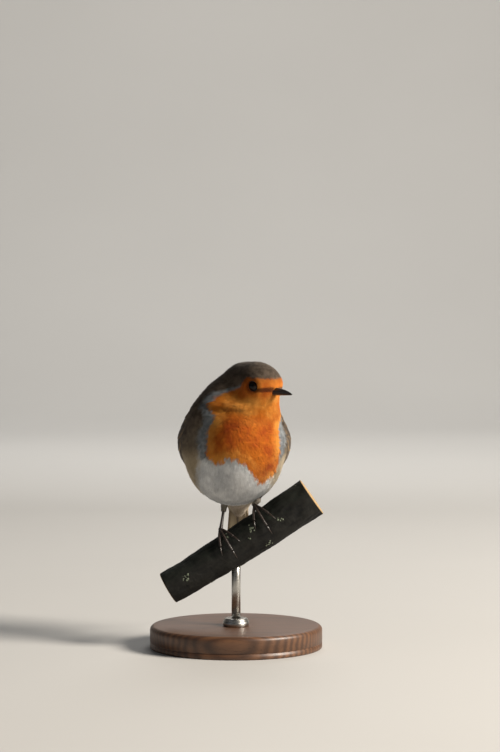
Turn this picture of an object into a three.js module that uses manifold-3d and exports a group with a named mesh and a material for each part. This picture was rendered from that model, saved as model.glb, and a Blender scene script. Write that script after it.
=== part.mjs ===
// A European robin at life size, still, perched upright on a short cut length of branch that a
// plain display stand holds up. The head is turned to the bird's left, the plumage is fluffed
// out and the tail hangs behind the branch. Millimetres, +Z up; the bird's breast faces -Y, and
// the origin is the centre of the stand's underside.
import * as THREE from "three";
import { mergeVertices } from "three/addons/utils/BufferGeometryUtils.js";
import Module from "manifold-3d";

const wasm = await Module();
wasm.setup();

const rad = THREE.MathUtils.degToRad;
const vec = (x, y, z) => new THREE.Vector3(x, y, z);
const lerp = THREE.MathUtils.lerp;
const smooth = THREE.MathUtils.smoothstep;

// ---------------------------------------------------------------- driving dimensions

const GAP = 0.3; // between pieces that touch

// The stand: a turned wooden disc, a metal rod and the collar that seats it.
const BASE_RADIUS = 46;
const BASE_HEIGHT = 12;
const BASE_ROUND = 2.5;
const ROD_RADIUS = 2.4;
const ROD_SOCKET = 5; // how deep the rod goes into the branch
const COLLAR_RADIUS = 7;
const COLLAR_HEIGHT = 4;

// The branch climbs to the bird's left and thickens with it.
const PERCH_Y = -4;
const PERCH_LOW_X = -36;
const PERCH_HIGH_X = 40;
const PERCH_MID_Z = 54.2; // the centre line's height at x = 0
const PERCH_RISE = 0.64; // its slope there
const PERCH_BEND = 0.0007; // how fast the slope grows, per mm
const PERCH_LOW_RADIUS = 8.9;
const PERCH_HIGH_RADIUS = 11.2;

// The trunk is an egg whose long axis points down and back towards the tail.
const TRUNK_CENTRE = vec(-1, 0, 104.5);
const TRUNK_PITCH = 50; // of the long axis below the horizontal
const TRUNK_LONG = 30;
const TRUNK_WIDE = 26.8;
const TRUNK_DEEP = 27.5;

// The head is level and turned to the bird's left.
const HEAD_CENTRE = vec(12, -9, 141.8);
const HEAD_TURN = 50;
const EYE_RADIUS = 3.2;
const EYE_SUNK = 2.1; // from the plumage down to the eyeball's centre
const BILL_ROOT = 9; // hidden under the face, forward of the head's centre
const BILL_TIP = 22.8;

// The closed wing lies on the trunk. A place on it is a length along the trunk's axis, from the
// front, where it comes out from under the breast's feathers, to the tip, and an angle round
// that axis from the bird's side towards its back.
const WING_FRONT = -22;
const WING_FRONT_ANGLE = 29;
const WING_TIP = 43;
const WING_SPLIT = 23; // where the tertials end and only the primaries go on
const WING_THICK = 1.9;
const HAND_THICK = 1.7;
const TIP_REACH = 7.5; // of the wing tips from the trunk's axis, past the rump
const TAIL_LENGTH = 58;
const TARSUS_LENGTH = 25;
const TOE_RADIUS = 0.95;

// ---------------------------------------------------------------- materials

const material = (color, roughness, metalness = 0) =>
  new THREE.MeshStandardMaterial({ color, roughness, metalness });
const BROWN_PLUMAGE = material(0x6b5a45, 0.9);
const ORANGE_PLUMAGE = material(0xc2601f, 0.9);
const WING_PLUMAGE = material(0x5f4d39, 0.8);
const TAIL_PLUMAGE = material(0x6a5238, 0.8);
const THIGH_PLUMAGE = material(0x9a8d7a, 0.9);
const BILL_HORN = material(0x1d1a1a, 0.35);
const EYE_SURFACE = material(0x0c0807, 0.05);
const LEG_SCALES = material(0x3a2b25, 0.55);
const CLAW_HORN = material(0x17120f, 0.4);
const BARK = material(0x2c2a20, 0.9);
const STAND_WOOD = material(0x2b2320, 0.45);
const STAND_METAL = material(0x8d8a84, 0.3, 1);

// ---------------------------------------------------------------- solids and meshes

// A manifold-3d solid of a closed three.js geometry, turned face out if it is inside out.
function solid(geometry) {
  const bare = geometry.clone();
  bare.deleteAttribute("normal");
  bare.deleteAttribute("uv");
  const merged = mergeVertices(bare, 1e-4);
  const make = (triVerts) =>
    new wasm.Manifold(
      new wasm.Mesh({ numProp: 3, vertProperties: merged.attributes.position.array, triVerts }),
    );
  const triangles = new Uint32Array(merged.index.array);
  const made = make(triangles);
  return made.volume() >= 0 ? made : make(triangles.reverse());
}

// A geometry from plain lists of points and triangles.
function geometryOf(points, triangles) {
  const positions = new Float32Array(points.flatMap((p) => [p.x, p.y, p.z]));
  return new THREE.BufferGeometry()
    .setAttribute("position", new THREE.BufferAttribute(positions, 3))
    .setIndex(triangles);
}

// A named mesh of a manifold-3d solid.
function meshOf(name, made, finish) {
  const { numProp, vertProperties, triVerts } = made.getMesh();
  const points = [];
  for (let i = 0; i < vertProperties.length; i += numProp)
    points.push(vec(vertProperties[i], vertProperties[i + 1], vertProperties[i + 2]));
  const mesh = new THREE.Mesh(geometryOf(points, [...triVerts]), finish);
  mesh.geometry.computeVertexNormals();
  mesh.name = name;
  return mesh;
}

// A closed skin over rings of points, all with the same count, with a fan over each end.
function loft(rings) {
  const sides = rings[0].length;
  const points = rings.flat();
  const triangles = [];
  for (let i = 0; i + 1 < rings.length; i++)
    for (let j = 0; j < sides; j++) {
      const a = i * sides + j;
      const b = i * sides + ((j + 1) % sides);
      triangles.push(a, b, a + sides, b, b + sides, a + sides);
    }
  for (const [first, turned] of [[0, false], [points.length - sides, true]]) {
    const middle = vec(0, 0, 0);
    for (let j = 0; j < sides; j++) middle.addScaledVector(points[first + j], 1 / sides);
    const hub = points.push(middle) - 1;
    for (let j = 0; j < sides; j++) {
      const rim = [first + j, first + ((j + 1) % sides)];
      triangles.push(hub, ...(turned ? rim : rim.reverse()));
    }
  }
  return solid(geometryOf(points, triangles));
}

// A round tube along a curve, whose radius depends on the share of the way and the angle round.
function tube(curve, radiusAt, steps, sides) {
  const { normals, binormals } = curve.computeFrenetFrames(steps, false);
  const rings = [];
  for (let i = 0; i <= steps; i++) {
    const ring = [];
    for (let j = 0; j < sides; j++) {
      const angle = (2 * Math.PI * j) / sides;
      const radius = radiusAt(i / steps, angle);
      ring.push(
        curve
          .getPoint(i / steps)
          .addScaledVector(normals[i], radius * Math.cos(angle))
          .addScaledVector(binormals[i], radius * Math.sin(angle)),
      );
    }
    rings.push(ring);
  }
  return loft(rings);
}

const sphere = (centre, radius, sides) =>
  solid(new THREE.SphereGeometry(radius, sides, sides / 2).translate(centre.x, centre.y, centre.z));

// All of space on the side of a plane that its normal points to, as far as the bird reaches.
function halfSpace(point, normal) {
  const reach = 200;
  const box = new THREE.BoxGeometry(reach, reach, reach).translate(0, 0, reach / 2);
  const turn = new THREE.Quaternion().setFromUnitVectors(vec(0, 0, 1), normal.clone().normalize());
  return solid(box.applyQuaternion(turn).translate(point.x, point.y, point.z));
}

// ---------------------------------------------------------------- fields

// A place with its own axes. at() turns its own x, y, z into the part's, and of() turns back.
function place(centre, xAxis, yAxis, zAxis) {
  const matrix = new THREE.Matrix4().makeBasis(xAxis, yAxis, zAxis).setPosition(centre);
  const inverse = matrix.clone().invert();
  return {
    at: (x, y, z) => vec(x, y, z).applyMatrix4(matrix),
    of: (p) => p.clone().applyMatrix4(inverse),
  };
}

// How far a point lies outside an ellipsoid, given in a place's own axes.
function ellipsoid(spot, centre, radii) {
  const [rx, ry, rz] = radii;
  const [cx, cy, cz] = centre;
  return (p) => {
    const q = spot.of(p);
    const [x, y, z] = [(q.x - cx) / rx, (q.y - cy) / ry, (q.z - cz) / rz];
    const share = Math.hypot(x, y, z);
    return (share * (share - 1)) / Math.max(Math.hypot(x / rx, y / ry, z / rz), 1e-9);
  };
}

// Joins fields, with a fillet about as wide as blend where they meet.
function joined(blend, fields) {
  return (p) =>
    fields
      .map((field) => field(p))
      .reduce((a, b) => {
        const near = Math.max(blend - Math.abs(a - b), 0) / blend;
        return Math.min(a, b) - (near * near * blend) / 4;
      });
}

// The solid inside a field, by surface nets: each grid cell that the surface crosses gets one
// vertex, drawn onto the surface, and each grid edge that it crosses gets one square of them.
function solidOf(field, low, high, step) {
  const count = ["x", "y", "z"].map((k) => Math.ceil((high[k] - low[k]) / step) + 1);
  const stride = [1, count[0], count[0] * count[1]];
  const values = new Float32Array(count[0] * count[1] * count[2]);
  const corner = (i, j, k) => vec(low.x + i * step, low.y + j * step, low.z + k * step);
  const eachCell = (visit) => {
    for (let k = 0; k < count[2]; k++)
      for (let j = 0; j < count[1]; j++)
        for (let i = 0; i < count[0]; i++) visit(i, j, k, i + j * stride[1] + k * stride[2]);
  };
  eachCell((i, j, k, n) => (values[n] = field(corner(i, j, k))));

  const points = [];
  const pointOf = new Int32Array(values.length).fill(-1);
  eachCell((i, j, k, n) => {
    if (i + 1 >= count[0] || j + 1 >= count[1] || k + 1 >= count[2]) return;
    const sum = vec(0, 0, 0);
    let crossings = 0;
    for (let axis = 0; axis < 3; axis++)
      for (let c = 0; c < 8; c++) {
        if ((c >> axis) & 1) continue;
        const offset = [c & 1, (c >> 1) & 1, (c >> 2) & 1];
        const from = n + offset[0] * stride[0] + offset[1] * stride[1] + offset[2] * stride[2];
        const [a, b] = [values[from], values[from + stride[axis]]];
        if (a < 0 === b < 0) continue;
        offset[axis] += a / (a - b);
        sum.add(corner(i + offset[0], j + offset[1], k + offset[2]));
        crossings++;
      }
    if (crossings) pointOf[n] = points.push(drawnOn(field, sum.divideScalar(crossings))) - 1;
  });

  const triangles = [];
  eachCell((i, j, k, n) => {
    const at = [i, j, k];
    for (let axis = 0; axis < 3; axis++) {
      const [u, v] = [(axis + 1) % 3, (axis + 2) % 3];
      if (at[axis] + 1 >= count[axis] || !at[u] || !at[v]) continue;
      const [inside, beyond] = [values[n] < 0, values[n + stride[axis]] < 0];
      if (inside === beyond) continue;
      const around = [n - stride[u] - stride[v], n - stride[v], n, n - stride[u]];
      const square = around.map((cell) => pointOf[cell]);
      const [a, b, c, d] = inside ? square : square.reverse();
      triangles.push(a, b, c, a, c, d);
    }
  });
  return solid(geometryOf(points, triangles));
}

// A point moved along the field's slope onto its surface.
function drawnOn(field, point) {
  const nudge = 0.05;
  for (let turn = 0; turn < 2; turn++) {
    const here = field(point);
    const slope = vec(
      field(point.clone().add(vec(nudge, 0, 0))) - here,
      field(point.clone().add(vec(0, nudge, 0))) - here,
      field(point.clone().add(vec(0, 0, nudge))) - here,
    ).divideScalar(nudge);
    point.addScaledVector(slope, -here / Math.max(slope.lengthSq(), 0.25));
  }
  return point;
}

// How far along a direction from a point inside a field its surface lies.
function reachOf(field, from, direction) {
  let [near, far] = [0, 40];
  for (let turn = 0; turn < 24; turn++) {
    const middle = (near + far) / 2;
    if (field(from.clone().addScaledVector(direction, middle)) < 0) near = middle;
    else far = middle;
  }
  return near;
}

// ---------------------------------------------------------------- flesh and plumage

// The trunk's own axes: x to the bird's left, y towards the tail, z out of the back.
const tailward = vec(0, Math.cos(rad(TRUNK_PITCH)), -Math.sin(rad(TRUNK_PITCH)));
const dorsal = vec(0, Math.sin(rad(TRUNK_PITCH)), Math.cos(rad(TRUNK_PITCH)));
const trunk = place(TRUNK_CENTRE, vec(1, 0, 0), tailward, dorsal);

// The head's own axes: x towards the bill, y to the bird's left, z up.
const turn = rad(HEAD_TURN);
const forward = vec(Math.sin(turn), -Math.cos(turn), 0);
const leftward = vec(Math.cos(turn), Math.sin(turn), 0);
const head = place(HEAD_CENTRE, forward, leftward, vec(0, 0, 1));

// The part's own axes, for what is level with neither.
const level = place(vec(0, 0, 0), vec(1, 0, 0), vec(0, 1, 0), vec(0, 0, 1));

const trunkForms = [
  ellipsoid(trunk, [0, 0, 0], [TRUNK_WIDE, TRUNK_LONG, TRUNK_DEEP]),
  ellipsoid(trunk, [0, -6, 2], [28.2, 16, 17]), // the fluffed sides of the breast
  ellipsoid(trunk, [0, -15, 8], [22.6, 17, 16.5]), // shoulders
  ellipsoid(trunk, [-11, -16.5, 9], [12, 13.5, 13.5]), // the right shoulder, higher than the left
  ellipsoid(trunk, [1.5, 23, 1.2], [13.5, 17, 11.4]), // rump and vent
  ellipsoid(trunk, [2.2, 37, 3.4], [6.8, 15, 5.6]), // tail coverts
];
const headForms = [
  ellipsoid(head, [-1.5, 0, 0], [13.3, 11.6, 11.6]), // cranium
  ellipsoid(head, [-10.6, 0, 0.8], [10.2, 10.4, 10.4]), // hind crown
  ellipsoid(head, [4, 0, 0], [8, 10.2, 7.6]), // brow
  ellipsoid(head, [4, 0, -4.8], [6.8, 6.5, 6.4]), // face and chin
  ellipsoid(head, [-1, 4.8, -5], [9, 6.6, 7]), // left cheek
  ellipsoid(head, [-1, -4.8, -5], [9, 6.6, 7]), // right cheek
];
const neckForms = [
  ellipsoid(level, [-4.6, 0, 132.6], [12.4, 13, 12.6]), // nape
  ellipsoid(level, [11, -5, 127.5], [11.6, 13, 11]), // throat
];
const flesh = joined(6, [...trunkForms, ...neckForms, joined(3, headForms)]);
const fleshWithGap = (p) => flesh(p) - 1.6 * GAP; // more than the gap, as coarse meshes stray a little

const lowCorner = vec(-38, -44, 60);
const highCorner = vec(38, 48, 162);
const TRUNK_STEP = 3.8;
const HEAD_STEP = 2.4;

// The head's own mesh is finer, and stops flat inside the neck.
const HEAD_FLOOR = 122;
const headCorner = vec(-38, -44, HEAD_FLOOR - 5);
const overFloor = (field) => (p) => Math.max(field(p), HEAD_FLOOR - p.z);

const coarseBody = solidOf(flesh, lowCorner, highCorner, TRUNK_STEP);
const bodyWithGap = solidOf(fleshWithGap, lowCorner, highCorner, TRUNK_STEP);
const fineHead = solidOf(overFloor(flesh), headCorner, highCorner, HEAD_STEP);
const headWithGap = solidOf(overFloor(fleshWithGap), headCorner, highCorner, HEAD_STEP);

// Thin cuts part the head from the neck and the neck from the trunk.
const neckLine = HEAD_CENTRE.clone().sub(TRUNK_CENTRE).normalize();
const jawCut = head.at(6, 0, -11.6);
const shoulderCut = jawCut.clone().addScaledVector(neckLine, -9);
const above = (point) => halfSpace(point, neckLine);
const below = (point) =>
  halfSpace(point.clone().addScaledVector(neckLine, -GAP), neckLine.clone().negate());

function makeEye(name, side) {
  const inside = head.at(4.2, 0, -1.1);
  const outward = leftward.clone().multiplyScalar(side);
  const depth = reachOf(joined(3, headForms), inside, outward) - EYE_SUNK;
  const centre = inside.addScaledVector(outward, depth);
  return {
    socket: sphere(centre, EYE_RADIUS + GAP, 14),
    mesh: meshOf(name, sphere(centre, EYE_RADIUS, 14), EYE_SURFACE),
  };
}
const eyes = [makeEye("eye_left", 1), makeEye("eye_right", -1)];

const headSolid = eyes.reduce((made, eye) => made.subtract(eye.socket), fineHead.intersect(above(jawCut)));
const neckSolid = coarseBody.intersect(below(jawCut)).intersect(above(shoulderCut));
const trunkSolid = coarseBody.intersect(below(shoulderCut));

// ---------------------------------------------------------------- bill

// One mandible: a dome over the flat cutting edge, upwards for the upper and down for the lower.
function mandible(up, tip, rootDepth, rootWidth) {
  const steps = 12;
  const arc = 10;
  const rings = [];
  for (let i = 0; i <= steps; i++) {
    const along = i / steps;
    const edge = -4.3 - 1.1 * Math.pow(along, 1.5) + up * (GAP / 2);
    const depth = lerp(rootDepth, 0.3, Math.pow(along, up > 0 ? 3 : 1.8));
    const width = lerp(rootWidth, 0.6, Math.pow(along, 1.1)) / 2;
    const ring = [];
    for (let j = 0; j <= arc; j++) {
      const angle = (Math.PI * j) / arc;
      const rise = Math.pow(Math.sin(angle), 0.9) * depth * up;
      ring.push(head.at(lerp(BILL_ROOT, tip, along), width * Math.cos(angle), edge + rise));
    }
    rings.push(ring);
  }
  return loft(rings).subtract(headWithGap);
}

// ---------------------------------------------------------------- wings

function wingPoint(side, along, degrees, height) {
  const angle = rad(degrees);
  const from = trunk.at(0, along, 0);
  const ray = trunk.at(side * Math.cos(angle), along, Math.sin(angle)).sub(from);
  const reach = Math.max(reachOf(flesh, from, ray), TIP_REACH);
  return from.addScaledVector(ray, reach + GAP + 0.3 + height);
}

// A plate on the trunk between two ends: its lower and upper edges are angles along its length.
function wingPlate(side, from, to, lowAt, highAt, thickAt, steps, across) {
  const rings = [];
  for (let i = 0; i <= steps; i++) {
    const along = lerp(from, to, i / steps);
    const ring = [];
    for (const face of [1, 0])
      for (let j = 0; j < across; j++) {
        const share = (j + 0.5) / across;
        const degrees = lerp(lowAt(along), highAt(along), face ? 1 - share : share);
        const full = Math.sqrt(1 - Math.pow(2 * share - 1, 2));
        ring.push(wingPoint(side, along, degrees, face * thickAt(along) * full));
      }
    rings.push(side > 0 ? ring : ring.reverse());
  }
  return loft(rings);
}

// The angles of the arm's two edges, drawn together in a half circle at its front, and of the
// hand's. The lower edge runs down aslant, where the breast's feathers lie over the wing.
const lowEdge = (along) => lerp(24, -10, smooth(along, WING_FRONT, 5)) + 27 * smooth(along, 3, 24);
const highEdge = (along) => lerp(34, 47, smooth(along, WING_FRONT, 2)) + 13 * smooth(along, 0, 20);
const opened = (along) => Math.sin(Math.acos(1 - Math.min((along - WING_FRONT + 0.3) / 13, 1)));
const fromFront = (edge) => (along) => lerp(WING_FRONT_ANGLE, edge(along), opened(along));
const armLow = fromFront(lowEdge);
const armHigh = (along) => fromFront(highEdge)(along) - 20 * Math.pow(smooth(along, 8, 26), 3);
const armThick = (along) => lerp(0.6, WING_THICK, smooth(along, WING_FRONT, -8));
const handLow = (along) => lowEdge(along) + 17 * smooth(along, 26, WING_TIP);
const handHigh = (along) => lerp(47, 44, smooth(along, WING_SPLIT, WING_TIP));

function makeWing(name, side) {
  const arm = wingPlate(side, WING_FRONT, WING_SPLIT, armLow, armHigh, armThick, 14, 7);
  const hand = wingPlate(side, WING_SPLIT + GAP, WING_TIP, handLow, handHigh, () => HAND_THICK, 7, 5);
  return [
    meshOf(`wing_${name}`, arm, WING_PLUMAGE),
    meshOf(`wing_${name}_primaries`, hand, WING_PLUMAGE),
  ];
}

// ---------------------------------------------------------------- tail

// The closed tail: a shallow arch of stacked feathers, a little wider and notched at its end.
function makeTail() {
  const steps = 14;
  const across = 7;
  const root = 26;
  const rings = [];
  for (let i = 0; i <= steps; i++) {
    const share = i / steps;
    const half = lerp(5.2, 7.4, share);
    const thick = lerp(3.2, 1.3, share);
    const ring = [];
    for (const face of [1, -1])
      for (let j = 0; j < across; j++) {
        const t = face * (1 - (2 * (j + 0.5)) / across);
        const notch = 2 * (1 - Math.abs(t)) * smooth(share, 0.8, 1);
        const along = root + TAIL_LENGTH * share - notch;
        const up = 3.6 - 1.6 * t * t + (face * thick * Math.sqrt(1 - t * t)) / 2;
        ring.push(trunk.at(2.2 + half * t, along, up));
      }
    rings.push(ring);
  }
  return meshOf("tail", loft(rings).subtract(bodyWithGap), TAIL_PLUMAGE);
}

// ---------------------------------------------------------------- branch

const perchHeight = (x) => PERCH_MID_Z + PERCH_RISE * x + PERCH_BEND * x * x;
const perchPoint = (x) => vec(x, PERCH_Y, perchHeight(x));
const perchSlope = (x) => vec(1, 0, PERCH_RISE + 2 * PERCH_BEND * x).normalize();
const perchRadius = (x) =>
  lerp(PERCH_LOW_RADIUS, PERCH_HIGH_RADIUS, (x - PERCH_LOW_X) / (PERCH_HIGH_X - PERCH_LOW_X));

class PerchLine extends THREE.Curve {
  getPoint(t) {
    return perchPoint(lerp(PERCH_LOW_X, PERCH_HIGH_X, t));
  }
}

// The bark swells and sinks a little along and round the branch.
function barkRadius(t, angle) {
  const swell = 0.02 * Math.sin(9 * t + 2 * angle) + 0.015 * Math.sin(23 * t - angle);
  return perchRadius(lerp(PERCH_LOW_X, PERCH_HIGH_X, t)) * (1 + swell);
}

function makePerch() {
  const wood = tube(new PerchLine(), barkRadius, 14, 14);
  const hole = tube(new THREE.LineCurve3(vec(0, PERCH_Y, 20), rodTop()), () => ROD_RADIUS + GAP, 1, 16);
  return meshOf("perch", wood.subtract(hole), BARK);
}

// ---------------------------------------------------------------- legs

const PERCH_CLEAR = 0.45; // of the toes from the bark, whose swell takes some of it

// A place on the branch under a foot: angle runs from the top to the front, along goes uphill.
function gripAt(x, angle, along, lift) {
  const axis = perchSlope(x);
  const up = vec(-axis.z, 0, axis.x);
  const radius = perchRadius(x) * 1.03 + lift;
  return perchPoint(x)
    .addScaledVector(axis, along)
    .addScaledVector(up, radius * Math.cos(angle))
    .addScaledVector(vec(0, -1, 0), radius * Math.sin(angle));
}

const TOES = [
  { name: "inner", length: 10.5, splay: -24, claw: 4.4, way: 1 },
  { name: "middle", length: 15, splay: 0, claw: 4.8, way: 1 },
  { name: "outer", length: 11.5, splay: 22, claw: 4.4, way: 1 },
  { name: "hind", length: 8.5, splay: 4, claw: 6, way: -1 },
];

function toeLine(x, side, toe, from, to, liftAt) {
  const points = [];
  for (let i = 0; i <= 6; i++) {
    const gone = lerp(from, to, i / 6);
    const along = gone * Math.sin(rad(toe.splay)) * side;
    const angle = (toe.way * gone * Math.cos(rad(toe.splay))) / perchRadius(x);
    points.push(gripAt(x, angle, along, liftAt(i / 6)));
  }
  return new THREE.CatmullRomCurve3(points);
}

// One leg: the feathered thigh, the bare tarsus, the foot with its four toes, and the claws.
function makeLeg(name, side, footX, lean, sway, fringe) {
  const palm = gripAt(footX, 0, 0, PERCH_CLEAR + 1.6);
  const ankleBack = TARSUS_LENGTH * Math.sin(rad(lean));
  const ankleUp = TARSUS_LENGTH * Math.cos(rad(lean));
  const ankle = palm.clone().add(vec(sway, ankleBack, ankleUp));
  const shin = new THREE.LineCurve3(palm.clone().lerp(ankle, 0.07), ankle);
  const shinRadius = (t) => 0.82 + 0.45 * Math.pow(1 - t, 6) + 0.35 * Math.pow(t, 4);

  const resting = (radius) => (share) =>
    PERCH_CLEAR + radius * lerp(1.7, 1, smooth(share, 0, 0.35));
  const toeRadius = (t) => TOE_RADIUS * lerp(1, 0.72, t) * (1 + 0.1 * Math.cos(6 * Math.PI * t));
  let foot = sphere(palm, 1.35, 8);
  const claws = [];
  for (const toe of TOES) {
    foot = foot.add(tube(toeLine(footX, side, toe, 0.3, toe.length, resting(TOE_RADIUS)), toeRadius, 5, 6));
    const hook = (share) => PERCH_CLEAR + lerp(1.05, 0.35, share) + 0.5 * Math.sin(Math.PI * share);
    const line = toeLine(footX, side, toe, toe.length + GAP, toe.length + toe.claw, hook);
    const claw = tube(line, (t) => 0.62 * Math.pow(1 - 0.85 * t, 0.8), 4, 5);
    claws.push(meshOf(`claw_${name}_${toe.name}`, claw, CLAW_HORN));
  }
  const shank = tube(shin, shinRadius, 8, 10);
  const clearOfShank = tube(shin, (t) => shinRadius(t) + GAP, 8, 10);

  // The thigh's feathers hang a little below the belly, round the top of the tarsus.
  const down = palm.clone().sub(ankle).normalize();
  const exit = reachOf(flesh, ankle, down);
  const hem = ankle.clone().addScaledVector(down, exit + fringe);
  const thighLine = new THREE.LineCurve3(hem, ankle.clone().add(vec(0, -3, 4)));
  const thigh = tube(thighLine, (t) => 2.1 + 2.6 * Math.sqrt(t), 6, 12);
  return [
    meshOf(`thigh_${name}`, thigh.subtract(bodyWithGap).subtract(clearOfShank), THIGH_PLUMAGE),
    meshOf(`tarsus_${name}`, shank.subtract(bodyWithGap), LEG_SCALES),
    meshOf(`foot_${name}`, foot.subtract(clearOfShank), LEG_SCALES),
    ...claws,
  ];
}

// ---------------------------------------------------------------- stand

function rodTop() {
  const underside = perchHeight(0) - perchRadius(0) / perchSlope(0).x;
  return vec(0, PERCH_Y, underside + ROD_SOCKET);
}

// A turned piece with rounded rims, from its underside up.
function turned(name, radius, low, height, round, bore, x, y, sides, finish) {
  const outline = new THREE.Shape();
  outline.moveTo(bore, low);
  outline.lineTo(radius - round, low);
  outline.absarc(radius - round, low + round, round, -Math.PI / 2, 0, false);
  outline.absarc(radius - round, low + height - round, round, 0, Math.PI / 2, false);
  outline.lineTo(bore, low + height);
  outline.closePath();
  const profile = outline.extractPoints(2).shape.map((p) => new THREE.Vector2(p.x, p.y));
  const spun = new THREE.LatheGeometry([...profile, profile[0]], sides).rotateX(Math.PI / 2);
  return meshOf(name, solid(spun.translate(x, y, 0)), finish);
}

function makeStand() {
  const rodFoot = vec(0, PERCH_Y, BASE_HEIGHT + GAP);
  const top = rodTop().sub(vec(0, 0, GAP));
  const rod = tube(new THREE.LineCurve3(rodFoot, top), () => ROD_RADIUS, 1, 16);
  return [
    turned("stand_base", BASE_RADIUS, 0, BASE_HEIGHT, BASE_ROUND, 0, 0, 0, 36, STAND_WOOD),
    turned(
      "stand_collar", COLLAR_RADIUS, BASE_HEIGHT + GAP, COLLAR_HEIGHT, 1.2, ROD_RADIUS + GAP,
      0, PERCH_Y, 18, STAND_METAL,
    ),
    meshOf("stand_rod", rod, STAND_METAL),
  ];
}

// ---------------------------------------------------------------- the whole

const robin = new THREE.Group();
robin.add(meshOf("trunk", trunkSolid, BROWN_PLUMAGE));
robin.add(meshOf("neck", neckSolid, ORANGE_PLUMAGE));
robin.add(meshOf("head", headSolid, BROWN_PLUMAGE));
robin.add(meshOf("bill_upper", mandible(1, BILL_TIP, 2, 5.4), BILL_HORN));
robin.add(meshOf("bill_lower", mandible(-1, BILL_TIP - 0.4, 1.8, 5.2), BILL_HORN));
for (const eye of eyes) robin.add(eye.mesh);
robin.add(...makeWing("left", 1), ...makeWing("right", -1));
robin.add(makeTail());
robin.add(...makeLeg("left", 1, 17.2, 34, 1.5, 0.9), ...makeLeg("right", -1, -1.6, 24, 3.8, 2.4));
robin.add(makePerch());
robin.add(...makeStand());

export default robin;
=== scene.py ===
import math

import bmesh
import bpy
import numpy as np
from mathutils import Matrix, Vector, noise
from mathutils.bvhtree import BVHTree
from mathutils.kdtree import KDTree


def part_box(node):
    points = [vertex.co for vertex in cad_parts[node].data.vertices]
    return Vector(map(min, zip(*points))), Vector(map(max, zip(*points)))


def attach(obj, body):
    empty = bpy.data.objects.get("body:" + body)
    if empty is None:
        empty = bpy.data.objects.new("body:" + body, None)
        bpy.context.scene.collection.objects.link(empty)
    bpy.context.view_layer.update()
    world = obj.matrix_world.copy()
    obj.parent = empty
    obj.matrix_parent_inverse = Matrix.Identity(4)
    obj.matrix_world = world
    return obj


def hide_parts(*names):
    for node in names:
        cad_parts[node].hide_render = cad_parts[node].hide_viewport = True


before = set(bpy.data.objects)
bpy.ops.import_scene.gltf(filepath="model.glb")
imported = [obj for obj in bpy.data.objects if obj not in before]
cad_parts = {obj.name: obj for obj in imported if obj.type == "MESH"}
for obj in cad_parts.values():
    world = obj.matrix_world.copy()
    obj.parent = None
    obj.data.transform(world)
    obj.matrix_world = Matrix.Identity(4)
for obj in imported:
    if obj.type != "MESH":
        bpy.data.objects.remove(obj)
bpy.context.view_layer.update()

# ------------------------------------------------------------------ stand base
# A disc of walnut, turned on a lathe with a rounded rim and one fine bead, then oiled.
# A disc of felt lies in a shallow recess underneath, so that it doesn't mark a shelf.

MM = 0.001


def corners(node):
    """A CAD node's lowest and highest corners, in millimetres."""
    low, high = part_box(node)
    return np.array(low) / MM, np.array(high) / MM


def linear(code):
    """A colour written as sRGB hex, as Blender's linear colour."""
    parts = [int(code[i : i + 2], 16) / 255 for i in (1, 3, 5)]
    return [c / 12.92 if c <= 0.04045 else ((c + 0.055) / 1.055) ** 2.4 for c in parts] + [1.0]


def add(tree, kind, links=None, **settings):
    """A new node with its settings. An input takes a value, a hex colour, a socket or a node."""
    node = tree.nodes.new(kind)
    for name, value in settings.items():
        setattr(node, name, value)
    for key, source in (links or {}).items():
        named = (s for s in node.inputs if s.enabled and s.name == key)
        socket = node.inputs[key] if isinstance(key, int) else next(named)
        if isinstance(source, bpy.types.Node):
            source = next(s for s in source.outputs if s.enabled)
        if isinstance(source, bpy.types.NodeSocket):
            tree.links.new(source, socket)
        else:
            socket.default_value = linear(source) if isinstance(source, str) else source
    return node


def new_finish(name):
    """An empty material for a finish, and its tree."""
    material = bpy.data.materials.new(name)
    material.use_nodes = True
    material.node_tree.nodes.clear()
    return material, material.node_tree


def plain_finish(name, dark, pale, grain, surface, relief=None, lie=None):
    """A finish of two shades in one noise. Its relief is a strength and a height in metres."""
    material, tree = new_finish(name)
    place = add(tree, "ShaderNodeTexCoord").outputs["Object"]
    for way in lie or ():  # turned and stretched, step by step, along the way the grain lies
        place = add(tree, "ShaderNodeMapping", {"Vector": place, **way})
    noise_there = add(tree, "ShaderNodeTexNoise", {"Vector": place, **grain})
    links = {"Factor": noise_there, "A": dark, "B": pale}
    surface = {"Base Color": add(tree, "ShaderNodeMix", links, data_type="RGBA"), **surface}
    if relief:
        links = {"Height": noise_there, "Strength": relief[0], "Distance": relief[1]}
        surface["Normal"] = add(tree, "ShaderNodeBump", links)
    shader = add(tree, "ShaderNodeBsdfPrincipled", surface)
    add(tree, "ShaderNodeOutputMaterial", {"Surface": shader})
    return material


def linked(name, data):
    """A new object in the scene."""
    thing = bpy.data.objects.new(name, data)
    bpy.context.scene.collection.objects.link(thing)
    return thing


def mesh_of(name, points, faces, smooth=True):
    """A mesh of points in millimetres and arrays of triangles and squares."""
    mesh = bpy.data.meshes.new(name)
    points = np.asarray(points, float)
    mesh.vertices.add(len(points))
    mesh.vertices.foreach_set("co", (points * MM).astype(np.float32).ravel())
    sizes = np.concatenate([np.full(len(f), f.shape[1]) for f in faces])
    mesh.loops.add(int(sizes.sum()))
    mesh.loops.foreach_set("vertex_index", np.concatenate([f.ravel() for f in faces]).astype(np.int32))
    mesh.polygons.add(len(sizes))
    starts = np.concatenate([[0], np.cumsum(sizes)[:-1]])
    mesh.polygons.foreach_set("loop_start", starts.astype(np.int32))
    mesh.polygons.foreach_set("use_smooth", np.full(len(sizes), smooth))
    mesh.update(calc_edges=True)
    return mesh


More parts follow.
